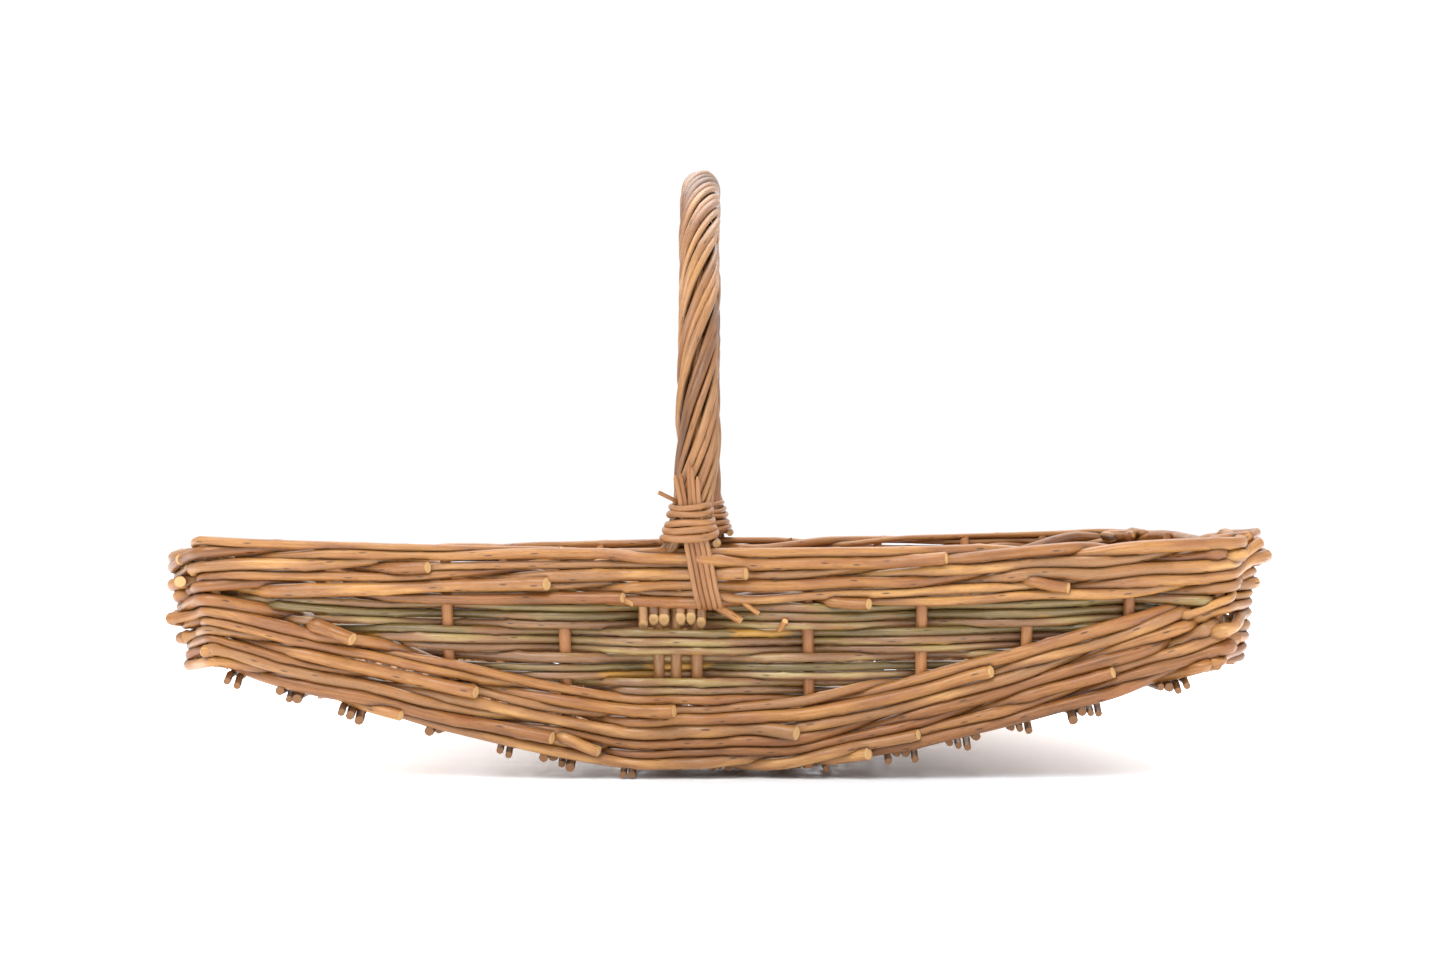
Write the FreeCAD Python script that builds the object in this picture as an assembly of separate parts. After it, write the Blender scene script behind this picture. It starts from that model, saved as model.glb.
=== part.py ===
"""Rectangular willow gathering basket with a boat-shaped base and a rope-wrapped bow handle.

Millimetres, +Z up, +X along the basket and +Y across it, with the origin on the floor under the
middle of the base. Every willow rod is a solid of its own: straight runs joined by tangent arcs,
swept with a round section. A wall's rods pass outside or inside the upright stakes in turn.
"""

import FreeCAD
import Part
import math
import os
from collections import namedtuple

Vector = FreeCAD.Vector

# Plan of the stakes at the rim: long sides, cut corners and ends.
CORNER_X, CORNER_Y = 266.0, 178.0
SHOULDER_X, SHOULDER_Y = 284.0, 148.0
LEAN = 0.14
LONG_STAKES = (-208.0, -142.0, -79.0, 48.0, 107.0, 163.0, 215.0)
END_STAKES = (-90.0, -30.0, 30.0, 90.0)
HANDLE_FOOT = (-38.0, -6.0)

# Heights: the keel is the underside of the base, the rim the top of the border.
KEEL_FLAT, KEEL_RISE, KEEL_POWER = 40.0, 55.0, 1.2
RIM_MIDDLE, RIM_LIFT = 122.0, 6.0
BACK_DIP = 10.0  # how much lower the rim is at the back left corner than at the front left

# Rods.
STAKE_R, CORNER_R, FOOT_R = 3.0, 3.6, 6.0
LOWER_R, UPPER_R, SLEW_R = 3.05, 2.8, 2.1
GAP = 0.3
LOWER_PITCH, UPPER_PITCH, SLEW_PITCH = 6.4, 5.9, 4.45
LOWER_COURSES, UPPER_COURSES, BORDER_COURSES = 6, 3, 2
SLEW_COURSES, SLEW_GROUP, SLEW_STEP = 11, 3, 1.0
WALE_CYCLE = 3  # a wale rod passes outside two posts, then inside the third
STAKE_BEND, CORNER_BEND = 30.0, 10.0
STAKE_SLACK, CORNER_SLACK = 0.6, 1.5
ROD_TAIL, TUCKED_TAIL = 9.0, 6.0
STAKE_DROP = 1.0
STRAIGHT_TURN, TRIM_SHARE = 0.004, 0.45  # half turn that needs no arc; most of a run that an arc takes

# Base: sticks along it, weft rods across it.
BASE_STICKS = (-142.0, -95.0, -47.0, 0.0, 47.0, 95.0, 142.0)
BASE_STICK_R, WEFT_R, WEFT_GAP = 4.0, 2.2, 0.2
BASE_END, WEFT_END, WEFT_PITCH = 262.0, 258.0, 4.75
WEFT_TAIL, WEFT_TRIM = 14.0, 6.5
WEFT_BEND, KEEL_BEND = 15.0, 120.0
KEEL_STATIONS = (0.0, 30.0, 58.0, 90.0, 125.0, 165.0, 210.0, BASE_END)
WEFT_THIRD = 90.0
BASE_MIDDLE = BASE_STICK_R + WEFT_GAP + 2 * WEFT_R
LOWER_LIFT = 2 * WEFT_R + 0.3

# Handle: a bow of three rods roped with strands, tied over the border and lapped at each foot.
BOW_X, BOW_RISE, BOW_R = -10.0, 29.0, 178.0
CORE_R = 3.0
CORE_SPREAD = (-30.0, -21.0, -10.0)
CORE_INSET = 3.2
CORE_LIFT, CORE_DROP, CORE_GATHER = 4.0, 4.0, 15.0
STRANDS, STRAND_R, STRAND_PITCH, STRAND_STEPS = 12, 2.15, 165.0, 7
STRAND_TAILS = (-38.0, -32.6, -27.2, -18.5, -13.1, -7.7)
TAIL_OUTSET, TAIL_DROP, TAIL_TOP = 2.9, 35.0, 2.0
GATHER_RISE, STRAND_STOP = 24.0, 5.0
ROPE_R = CORE_R * (1 + 2 / math.sqrt(3)) + GAP + STRAND_R
TIES, TIE_R = 5, 1.35
TIE_FOOT_X, TIE_RIM_X, TIE_TOP_RISE = 1.0, -11.0, 41.0
TIE_GAP, TIE_CLEAR, TIE_TURN_RISE, TIE_BEND = 0.1, 1.0, 8.0, 6.0
LAP_R, LAP_TURNS, LAP_PITCH, LAP_STEPS = 1.7, 6, 4.4, 8
LAP_HALF_WIDTHS = (18.5, 14.5)
LAP_X, LAP_RISE, LAP_BEND = BOW_X - 2.0, 4.0, 14.0

Post = namedtuple("Post", "x y nx ny radius bend slack")


def keel(x):
    """Height of the base's underside: flat in the middle, rising towards both ends."""
    run = max(0.0, min(abs(x), CORNER_X) - KEEL_FLAT)
    return KEEL_RISE * (run / (CORNER_X - KEEL_FLAT)) ** KEEL_POWER


def keel_slope(x):
    """Slope of the keel at x."""
    step = 0.5
    return (keel(x + step) - keel(x - step)) / (2 * step)


def rim(x, y):
    """Height of the border's top, which sags in the middle and dips to the back left corner."""
    share = min(abs(x), CORNER_X) / CORNER_X
    left = share if x < 0 else 0.0
    back = min(max((y + SHOULDER_Y) / (2 * SHOULDER_Y), 0.0), 1.0)
    return RIM_MIDDLE + RIM_LIFT * share ** 2 - BACK_DIP * left * back


def smooth_edges(points, bends):
    """Edges of straight runs joined by tangent arcs, each of its own radius where there is room."""
    edges, start = [], points[0]
    for before, corner, after, bend in zip(points, points[1:], points[2:], bends[1:]):
        back, ahead = before - corner, after - corner
        half_turn = (math.pi - back.getAngle(ahead)) / 2
        if half_turn < STRAIGHT_TURN:
            continue
        trim = min(bend * math.tan(half_turn), TRIM_SHARE * min(back.Length, ahead.Length))
        radius = trim / math.tan(half_turn)
        back.normalize()
        ahead.normalize()
        inward = (back + ahead).normalize()
        first, last = corner + back * trim, corner + ahead * trim
        middle = corner + inward * (radius / math.cos(half_turn) - radius)
        edges.append(Part.LineSegment(start, first).toShape())
        edges.append(Part.Arc(first, middle, last).toShape())
        start = last
    edges.append(Part.LineSegment(start, points[-1]).toShape())
    return edges


def sweep(edges, radius):
    """A round rod along joined edges."""
    wire = Part.Wire(edges)
    start = wire.OrderedVertexes[0].Point
    along = edges[0].tangentAt(edges[0].FirstParameter)
    section = Part.Wire([Part.Circle(start, along, radius).toShape()])
    return wire.makePipeShell([section], True, False)


def rod(points, radius, bend=STAKE_BEND):
    """A round rod through points, with one bend radius."""
    return sweep(smooth_edges(points, [bend] * len(points)), radius)


# Posts ------------------------------------------------------------------------------------------

def corner_posts(end, side):
    """The two posts of one corner: on the long side, then on the end. end and side are -1 or 1."""
    cut = math.atan2(SHOULDER_X - CORNER_X, CORNER_Y - SHOULDER_Y)
    on_side, on_end = (math.pi / 2 + cut) / 2, cut / 2
    return [
        Post(end * x, side * y, end * math.cos(angle), side * math.sin(angle),
             CORNER_R, CORNER_BEND, CORNER_SLACK)
        for x, y, angle in ((CORNER_X, CORNER_Y, on_side), (SHOULDER_X, SHOULDER_Y, on_end))
    ]


def long_posts(side):
    """Every post that a long wall's rods pass, from the left end to the right end."""
    (left, left_end), (right, right_end) = corner_posts(-1, side), corner_posts(1, side)
    between = [Post(x, side * CORNER_Y, 0.0, side, STAKE_R, STAKE_BEND, STAKE_SLACK)
               for x in LONG_STAKES]
    between += [Post(x, side * CORNER_Y, 0.0, side, FOOT_R, STAKE_BEND, 0.0) for x in HANDLE_FOOT]
    return [left_end, left, *sorted(between), right, right_end]


def end_posts(end):
    """Every post that an end wall's rods pass, from the front to the back."""
    (front_side, front), (back_side, back) = corner_posts(end, -1), corner_posts(end, 1)
    between = [Post(end * SHOULDER_X, y, end, 0.0, STAKE_R, STAKE_BEND, STAKE_SLACK)
               for y in END_STAKES]
    return [front_side, front, *between, back, back_side]


def at_post(post, z, outset=0.0):
    """The point at height z on a post's leaning axis, moved outwards by outset."""
    shift = outset - LEAN * (rim(post.x, post.y) - z)
    return Vector(post.x + post.nx * shift, post.y + post.ny * shift, z)


def stake(post, radius):
    """An upright from the base's edge to just under the rim."""
    foot = at_post(post, keel(post.x) + LOWER_LIFT)
    return rod([foot, at_post(post, rim(post.x, post.y) - STAKE_DROP)], radius)


# Courses ----------------------------------------------------------------------------------------

def woven_rod(posts, states, level, radius, tails):
    """A rod that passes each post outside (1) or inside (-1), at the height level(x, y).

    tails are the free lengths past the first and last post, and the way that each one points.
    """
    points, bends = [], []
    for post, state in zip(posts, states):
        reach = post.radius + radius + GAP + post.slack
        points.append(at_post(post, level(post.x, post.y), state * reach))
        bends.append(post.bend)
    (first_way, first_length), (last_way, last_length) = tails
    points = [points[0] + first_way * first_length, *points, points[-1] + last_way * last_length]
    return sweep(smooth_edges(points, [0.0, *bends, 0.0]), radius)


def wale_course(posts, number, level, radius, along, round_corner):
    """One course of a wall: it wraps both corners outside, or stops inside the wall's own ends."""
    states = [-1 if (i + number) % WALE_CYCLE == 0 else 1 for i in range(len(posts))]
    for i in range(1, len(posts)):
        if posts[i].radius == FOOT_R and posts[i - 1].radius == FOOT_R:
            states[i] = states[i - 1]
    if round_corner:
        inward = Vector(0, -posts[0].ny, 0) if along.x else Vector(-posts[0].nx, 0, 0)
        inward.normalize()
        states[:2], states[-2:] = [1, 1], [1, 1]
        tails = ((inward, ROD_TAIL), (inward, ROD_TAIL))
        return woven_rod(posts, states, level, radius, tails)
    states[1], states[-2] = -1, -1
    tails = ((along * -1, TUCKED_TAIL), (along, TUCKED_TAIL))
    return woven_rod(posts[1:-1], states[1:-1], level, radius, tails)


def lower_level(course):
    """Height of a lower wale course, which follows the keel."""
    return lambda x, y: keel(x) + LOWER_LIFT + LOWER_R + LOWER_PITCH * course


def upper_level(course):
    """Height of a course counted down from the rim."""
    return lambda x, y: rim(x, y) - UPPER_R - GAP - UPPER_PITCH * course


def wall_courses(posts, along, wraps_even, levels, radius, first_number):
    """One rod for each level; the wall wraps its corners on every second course."""
    return [wale_course(posts, first_number + i, level, radius, along, (i % 2 == 0) == wraps_even)
            for i, level in enumerate(levels)]


def slew_course(posts, number):
    """One thin green rod of the lens between the wales, cut where the rising wale meets it.

    The lowest one is left out of the back, where the lower rim leaves it no room.
    """
    bottom = RIM_MIDDLE - GAP - UPPER_PITCH * (UPPER_COURSES + BORDER_COURSES) - SLEW_R
    height = bottom - SLEW_PITCH * number
    clear = LOWER_LIFT + LOWER_PITCH * LOWER_COURSES + SLEW_R

    def level(x, y):
        return height + rim(x, y) - RIM_MIDDLE

    def reach(end):
        length = 0.0
        while length < SHOULDER_X and level(end * length, posts[2].y) > keel(length) + clear:
            length += SLEW_STEP
        return length

    left, right = reach(-1), reach(1)
    inner = [p for p in posts[2:-2] if ROD_TAIL - left < p.x < right - ROD_TAIL]
    if len(inner) < 2:
        return None
    states = [1 if number // SLEW_GROUP % 2 else -1]
    for before, post in zip(inner, inner[1:]):
        same_foot = before.radius == FOOT_R and post.radius == FOOT_R
        states.append(states[-1] if same_foot else -states[-1])
    away = Vector(1, 0, 0)
    tails = ((away * -1, left + inner[0].x), (away, right - inner[-1].x))
    return woven_rod(inner, states, level, SLEW_R, tails)


# Base -------------------------------------------------------------------------------------------

def above_keel(x, y, offset):
    """A point over the keel at x, offset along the keel's own normal."""
    slope = keel_slope(x)
    size = math.hypot(1.0, slope)
    return Vector(x - slope / size * offset, y, keel(x) + offset / size)


def base_stick(y):
    """A lengthwise stick, bent to the keel."""
    stations = [-x for x in reversed(KEEL_STATIONS[1:])] + list(KEEL_STATIONS)
    return rod([above_keel(x, y, BASE_MIDDLE) for x in stations], BASE_STICK_R, KEEL_BEND)


def weft_rod(x, under_edge):
    """A rod across the base, over and under the sticks in turn."""
    step = BASE_STICK_R + WEFT_R + WEFT_GAP
    side = -1 if under_edge else 1
    offsets = [side * step * (-1) ** i for i in range(len(BASE_STICKS))]
    past = WEFT_TAIL if under_edge else WEFT_TRIM
    ys = [BASE_STICKS[0] - past, *BASE_STICKS, BASE_STICKS[-1] + past]
    offsets = [offsets[0], *offsets, offsets[-1]]
    points = [above_keel(x, y, BASE_MIDDLE + o) for y, o in zip(ys, offsets)]
    return rod(points, WEFT_R, WEFT_BEND)


def weft_stations():
    """Places of the weft rods along X, evenly spaced along the keel."""
    places, x = [WEFT_PITCH / 2], WEFT_PITCH / 2
    while x < WEFT_END:
        x += WEFT_PITCH / math.hypot(1.0, keel_slope(x))
        places.append(x)
    return [-x for x in reversed(places[:-1])] + places[:-1]


# Handle -----------------------------------------------------------------------------------------

def foot_line(side, x, z, outset=0.0):
    """A point on the leaning plane of a long side's stakes."""
    return at_post(Post(x, side * CORNER_Y, 0.0, side, 0.0, 0.0, 0.0), z, outset)


BOW_SPRING = RIM_MIDDLE + BOW_RISE
BOW_LENGTH = 2 * BOW_RISE + math.pi * BOW_R


def bow_frame(length):
    """Centre of the bow and its outward normal, at a length from the front rim."""
    if length < BOW_RISE:
        return Vector(BOW_X, -CORNER_Y, RIM_MIDDLE + length), Vector(0, -1, 0)
    if length > BOW_LENGTH - BOW_RISE:
        return Vector(BOW_X, CORNER_Y, RIM_MIDDLE + BOW_LENGTH - length), Vector(0, 1, 0)
    angle = (length - BOW_RISE) / BOW_R
    normal = Vector(0, -math.cos(angle), math.sin(angle))
    return Vector(BOW_X, 0, BOW_SPRING) + normal * BOW_R, normal


def core_rod(number):
    """One of the bow's three rods: fanned out in the walls, bundled over the arch."""
    angle = math.radians(90 + 120 * number)
    radius = 2 * CORE_R / math.sqrt(3) + GAP / 2
    sideways, outwards = radius * math.cos(angle), radius * math.sin(angle)
    arch_r = BOW_R + outwards

    def leg(side):
        wall_x = CORE_SPREAD[number]
        return [
            foot_line(side, wall_x, keel(wall_x) + BASE_MIDDLE + CORE_LIFT, -CORE_INSET),
            foot_line(side, wall_x, RIM_MIDDLE - CORE_DROP, -CORE_INSET),
            Vector(BOW_X + sideways, side * (CORNER_Y + outwards), RIM_MIDDLE + CORE_GATHER),
            Vector(BOW_X + sideways, side * arch_r, BOW_SPRING),
        ]

    front, back = leg(-1), leg(1)
    bends = [0.0, STAKE_BEND, STAKE_BEND, 0.0]
    crown = Vector(BOW_X + sideways, 0, BOW_SPRING + arch_r)
    edges = smooth_edges(front, bends)
    edges.append(Part.Arc(front[-1], crown, back[-1]).toShape())
    edges += smooth_edges(back[::-1], bends[::-1])
    return sweep(edges, CORE_R)


def strand(number):
    """A roping strand: its tail in one wall, then round the bow to the other foot."""
    first = number % 2
    side = 1 if first else -1
    stop = BOW_LENGTH - STRAND_STOP
    steps = round((stop - GATHER_RISE) / STRAND_PITCH * STRAND_STEPS)

    def turn(count, travelled):
        length = BOW_LENGTH - travelled if first else travelled
        return 2 * math.pi * (count / STRANDS + length / STRAND_PITCH), length

    points = []
    for i in range(steps + 1):
        angle, length = turn(number, GATHER_RISE + (stop - GATHER_RISE) * i / steps)
        centre, normal = bow_frame(length)
        sideways = Vector(ROPE_R * math.sin(angle), 0, 0)
        points.append(centre + normal * (ROPE_R * math.cos(angle)) + sideways)
    same_foot = sorted(range(first, STRANDS, 2), key=lambda n: math.sin(turn(n, GATHER_RISE)[0]))
    tail_x = STRAND_TAILS[same_foot.index(number)]
    tail = [foot_line(side, tail_x, RIM_MIDDLE - TAIL_DROP, TAIL_OUTSET),
            foot_line(side, tail_x, RIM_MIDDLE - TAIL_TOP, TAIL_OUTSET)]
    return rod(tail + points, STRAND_R)


def ties(side):
    """The strands' thin tips, brought out of the wall, slantwise over the border and up the bow."""
    outer = FOOT_R + 2 * UPPER_R + GAP + TIE_R + GAP
    made = []
    for i in range(TIES):
        across = (i - (TIES - 1) / 2) * (2 * TIE_R + TIE_GAP)
        band = UPPER_PITCH * (UPPER_COURSES + BORDER_COURSES)
        below = RIM_MIDDLE - band - TIE_R - TIE_CLEAR
        top = Vector(BOW_X + across, side * (CORNER_Y + ROPE_R + STRAND_R + TIE_R + GAP), 0)
        made.append(rod([
            foot_line(side, TIE_FOOT_X + across, below, 0.0),
            foot_line(side, TIE_FOOT_X + across, below, outer),
            foot_line(side, TIE_RIM_X + across, RIM_MIDDLE + TIE_CLEAR, outer),
            top + Vector(0, 0, RIM_MIDDLE + TIE_TURN_RISE),
            top + Vector(0, 0, RIM_MIDDLE + TIE_TOP_RISE),
        ], TIE_R, TIE_BEND))
    return made


def lapping(side):
    """A thin rod wound round the handle's foot in rising turns that draw in."""
    depth = ROPE_R + STRAND_R + 2 * TIE_R + LAP_R + 2 * GAP
    points = []
    for i in range(LAP_TURNS * LAP_STEPS + 1):
        share = i / (LAP_TURNS * LAP_STEPS)
        wide = LAP_HALF_WIDTHS[0] + (LAP_HALF_WIDTHS[1] - LAP_HALF_WIDTHS[0]) * share
        turn = 2 * math.pi * i / LAP_STEPS
        z = RIM_MIDDLE + LAP_RISE + LAP_PITCH * LAP_TURNS * share
        points.append(Vector(LAP_X + wide * math.cos(turn),
                             side * (CORNER_Y + depth * math.sin(turn)), z))
    return rod(points, LAP_R, LAP_BEND)


# Assembly ---------------------------------------------------------------------------------------

def build():
    """Every node's solids, by node name."""
    nodes = {}
    for number, y in enumerate(BASE_STICKS, 1):
        nodes[f"base_stick_{number}"] = [base_stick(y)]
    weft = [(x, weft_rod(x, i % 2 == 0)) for i, x in enumerate(weft_stations())]
    nodes["base_weft_left"] = [s for x, s in weft if x < -WEFT_THIRD]
    nodes["base_weft_middle"] = [s for x, s in weft if abs(x) <= WEFT_THIRD]
    nodes["base_weft_right"] = [s for x, s in weft if x > WEFT_THIRD]

    lower = [lower_level(k) for k in range(LOWER_COURSES)]
    band = [upper_level(k) for k in reversed(range(UPPER_COURSES + BORDER_COURSES))]
    for name, side in (("front", -1), ("back", 1)):
        posts = long_posts(side)
        along = Vector(1, 0, 0)
        nodes[f"stakes_{name}"] = [stake(p, p.radius) for p in posts if p.radius == STAKE_R]
        nodes[f"lower_wale_{name}"] = wall_courses(posts, along, True, lower, LOWER_R, 0)
        upper = wall_courses(posts, along, True, band, UPPER_R, 1)
        nodes[f"upper_wale_{name}"] = upper[:UPPER_COURSES]
        nodes[f"border_{name}"] = upper[UPPER_COURSES:]
        green = [slew_course(posts, k) for k in range(SLEW_COURSES)]
        for first in range(0, SLEW_COURSES, SLEW_GROUP):
            group = first // SLEW_GROUP + 1
            nodes[f"slew_{name}_{group}"] = [
                s for s in green[first:first + SLEW_GROUP] if s is not None]
        for end_name, end in (("left", -1), ("right", 1)):
            nodes[f"corner_posts_{name}_{end_name}"] = [
                stake(p, p.radius) for p in corner_posts(end, side)]
        nodes[f"cross_ties_{name}"] = ties(side)
        nodes[f"foot_lapping_{name}"] = [lapping(side)]
    for name, end in (("left", -1), ("right", 1)):
        posts = end_posts(end)
        along = Vector(0, 1, 0)
        nodes[f"stakes_{name}"] = [stake(p, p.radius) for p in posts if p.radius == STAKE_R]
        nodes[f"lower_wale_{name}"] = wall_courses(posts, along, False, lower, LOWER_R, 1)
        upper = wall_courses(posts, along, False, band, UPPER_R, 2)
        nodes[f"upper_wale_{name}"] = upper[:UPPER_COURSES]
        nodes[f"border_{name}"] = upper[UPPER_COURSES:]
    for number in range(len(CORE_SPREAD)):
        nodes[f"bow_rod_{number + 1}"] = [core_rod(number)]
    nodes["rope_strands_front"] = [strand(n) for n in range(0, STRANDS, 2)]
    nodes["rope_strands_back"] = [strand(n) for n in range(1, STRANDS, 2)]
    return nodes


def main():
    """Writes one STEP file for each node."""
    os.makedirs("parts", exist_ok=True)
    for name, solids in build().items():
        shape = solids[0] if len(solids) == 1 else Part.makeCompound(solids)
        bad = [i for i, s in enumerate(solids) if not s.isValid() or s.Volume <= 0]
        print(f"{name}: {len(solids)} solids, {shape.BoundBox}, bad {bad}")
        shape.exportStep(f"parts/{name}.step")


main()
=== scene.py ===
"""Looks of a willow egg basket: waled walls, a green slewed panel and a roped bow handle.

Sizes are in millimetres and become metres as each mesh is made. A wall is laid out on a closed
line round the basket: s runs along it from the middle of the front, n stands outwards from the
stakes' leaning axis and z is the height.
"""

from __future__ import annotations

import logging
from dataclasses import dataclass, field
from enum import Enum
from typing import Any, Callable, Sequence

import bpy
import numpy as np
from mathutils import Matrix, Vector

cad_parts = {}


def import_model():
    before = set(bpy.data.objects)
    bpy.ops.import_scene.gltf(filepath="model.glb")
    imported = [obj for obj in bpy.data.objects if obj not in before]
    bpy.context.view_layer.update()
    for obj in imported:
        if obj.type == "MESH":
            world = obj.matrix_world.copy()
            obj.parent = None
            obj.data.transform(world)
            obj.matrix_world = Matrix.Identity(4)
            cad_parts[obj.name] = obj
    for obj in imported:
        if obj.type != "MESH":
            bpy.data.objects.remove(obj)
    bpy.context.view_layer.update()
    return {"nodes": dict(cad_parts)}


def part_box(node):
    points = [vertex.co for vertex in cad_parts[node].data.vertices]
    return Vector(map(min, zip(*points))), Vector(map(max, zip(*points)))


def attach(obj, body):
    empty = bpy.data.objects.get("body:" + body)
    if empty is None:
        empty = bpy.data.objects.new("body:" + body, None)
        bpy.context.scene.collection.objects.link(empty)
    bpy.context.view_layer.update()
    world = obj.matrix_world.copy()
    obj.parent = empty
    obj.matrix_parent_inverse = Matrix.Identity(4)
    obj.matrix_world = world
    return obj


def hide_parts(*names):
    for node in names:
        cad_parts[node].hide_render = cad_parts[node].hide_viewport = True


MM = 0.001
LAP_OFFSET = 2.0  # the lapping stands this far to the left of the bow's middle
GOLDEN = 0.618  # the golden section, a step that never comes back near an earlier place
SHARP_EDGE = 0.85  # radians between faces, past which an edge is a cut's edge
LEAST_SAMPLES = 8  # a short rod's line still has this many
BUD_GAP, BUD_STRAY, BUD_WIDTH = 38.0, 12.0, 2.6
FIRST_BUD = (5, 30)
OVAL, OVAL_RUN = 0.035, 60
WAVER, WAVER_RUN = 0.03, 17
CUT_RINGS = (0.4, 0.8, 1.0)  # how wide a rod's last three rings are, and their share of its slant
GRAIN_SPREAD = 900  # each rod's grain starts somewhere along this length
LOG = logging.getLogger("basket")
Array = np.ndarray


class Wall(Enum):
    """The four walls."""

    FRONT = "front"
    RIGHT = "right"
    BACK = "back"
    LEFT = "left"


class Cut(Enum):
    """How a rod's end is finished: its slant, and how far it draws in before the end."""

    SQUARE = (0.15, 1.0)
    SLANTED = (0.5, 1.0)
    LONG = (1.7, 1.0)
    TIP = (0.6, 0.45)


# Rods -------------------------------------------------------------------------------------------

@dataclass
class Rod:
    """One willow rod: the line it follows, its radius along it, and how it is cut.

    The last field takes the directions round the rod and the rows of its line, and gives how deep in a
    gap each point lies, from 0 in the open to 1 where rods touch; the finish paints that as shade.
    """

    line: Array
    radius: Array
    tone: float
    seed: int
    start: Cut = Cut.SQUARE
    end: Cut = Cut.SQUARE
    across: tuple[float, float, float] = (0.0, 0.0, 1.0)
    sides: int = 12
    knotty: float = 0.15
    crevice: Callable[[Array, Array], Array] | None = None


def unit(vectors: Array) -> Array:
    """Vectors scaled to length one."""
    return vectors / np.linalg.norm(vectors, axis=-1, keepdims=True)


def smoothstep(values: Array) -> Array:
    """0 below 0, 1 above 1 and an even S between: t squared times (3 - 2t)."""
    held = np.clip(values, 0.0, 1.0)
    return held * held * (3 - 2 * held)


def supple_line(points: Sequence[Sequence[float]], step: float, ease: float) -> Array:
    """A line of even steps through points, its corners eased.

    The points are joined straight, sampled every step, and averaged with a bell of width ease.

    Args:
        points: Corners of the line.
        step: Distance between two samples.
        ease: Width of the bell.

    Returns:
        The line's samples, with both ends kept in place.
    """
    corners = np.asarray(points, dtype=float)
    runs = np.linalg.norm(np.diff(corners, axis=0), axis=1)
    places = np.concatenate(([0.0], np.cumsum(runs)))
    count = max(LEAST_SAMPLES, int(places[-1] / step))
    at = np.linspace(0.0, places[-1], count)
    reach = int(3 * ease / step) + 1
    bell = np.exp(-0.5 * (np.arange(-reach, reach + 1) * step / ease) ** 2)
    bell /= bell.sum()
    columns = []
    for column in corners.T:
        values = np.interp(at, places, column)
        padded = np.pad(values, reach, mode="reflect", reflect_type="odd")
        columns.append(np.convolve(padded, bell, mode="valid"))
    return np.stack(columns, axis=1)


def short_rod(ends: Sequence[Sequence[float]], radius: float, tone: float, seed: int) -> Rod:
    """A straight, even piece of rod between two ends."""
    line = supple_line(ends, 1.5, 1.0)
    return Rod(line, np.full(len(line), radius), tone, seed)


def eased_round(table: Array, step: float, ease: float) -> Array:
    """Rows of a closed line averaged with a bell, by multiplying their waves by the bell's."""
    waves = np.fft.rfftfreq(table.shape[-1], step) * 2 * np.pi
    spread = np.exp(-0.5 * (waves * ease) ** 2)
    return np.fft.irfft(np.fft.rfft(table, axis=-1) * spread, table.shape[-1], axis=-1)


def rod_grid(rod: Rod) -> tuple[Array, Array, Array, Array]:
    """A round rod as rings of points along its line, closed by two poles.

    A ring is the line's point plus radius times (cos a * side + sin a * up). The radius swells at
    a few buds by a bell along the rod times a squared half-cosine round it. The end rings draw in
    and lean by the cut's slant.

    Args:
        rod: The rod.

    Returns:
        Points (rings, sides, 3) in metres, and for each its grain vector, its end mask and how
        deep in a gap it lies, which the finish paints as shade.
    """
    draw = np.random.default_rng(rod.seed)
    line = rod.line
    along = np.concatenate(([0.0], np.cumsum(np.linalg.norm(np.diff(line, axis=0), axis=1))))
    ahead = unit(np.gradient(line, axis=0))
    side = unit(np.cross(ahead, np.asarray(rod.across)))
    up = np.cross(ahead, side)
    angle = np.linspace(0.0, 2 * np.pi, rod.sides, endpoint=False)

    buds = np.arange(draw.uniform(*FIRST_BUD), along[-1], BUD_GAP)
    buds = buds + draw.uniform(-BUD_STRAY, BUD_STRAY, len(buds))
    turned = draw.uniform(0, 2 * np.pi, len(buds))
    near = np.exp(-((along[:, None] - buds) / BUD_WIDTH) ** 2)
    facing = (0.5 + 0.5 * np.cos(angle[:, None] - turned)) ** 2
    swell = 1 + rod.knotty * near @ facing.T
    oval = 1 + OVAL * np.cos(2 * angle + draw.uniform(0, 6) + along[:, None] / OVAL_RUN)
    waver = 1 + WAVER * np.sin(along / WAVER_RUN + draw.uniform(0, 6))[:, None]
    radius = rod.radius[:, None] * swell * oval * waver

    rows = np.concatenate(([0, 0, 0], np.arange(1, len(line) - 1), [-1, -1, -1])).astype(int)
    ring = radius[rows]
    ends = np.zeros(len(rows))
    lean = np.zeros(len(rows))
    for cut, places, way in ((rod.start, (0, 1, 2), 1), (rod.end, (-1, -2, -3), -1)):
        slant, draws_in = cut.value
        for place, share in zip(places, CUT_RINGS):
            ring[place] = ring[place] * share * draws_in
            lean[place] = way * slant * share
        ends[list(places[:2])] = 1.0
    shift = lean[:, None] * ring * np.cos(angle)
    away = np.cos(angle)[:, None] * side[rows][:, None] + np.sin(angle)[:, None] * up[rows][:, None]
    points = line[rows][:, None] + ring[..., None] * away + shift[..., None] * ahead[rows][:, None]
    start = draw.uniform(0, GRAIN_SPREAD)
    grain = np.stack(np.broadcast_arrays(
        np.cos(angle), np.sin(angle), (along[rows] + start)[:, None]), axis=-1)
    gap = np.zeros(ring.shape) if rod.crevice is None else rod.crevice(away, rows)
    return points * MM, grain, np.broadcast_to(ends[:, None], ring.shape), gap


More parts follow.
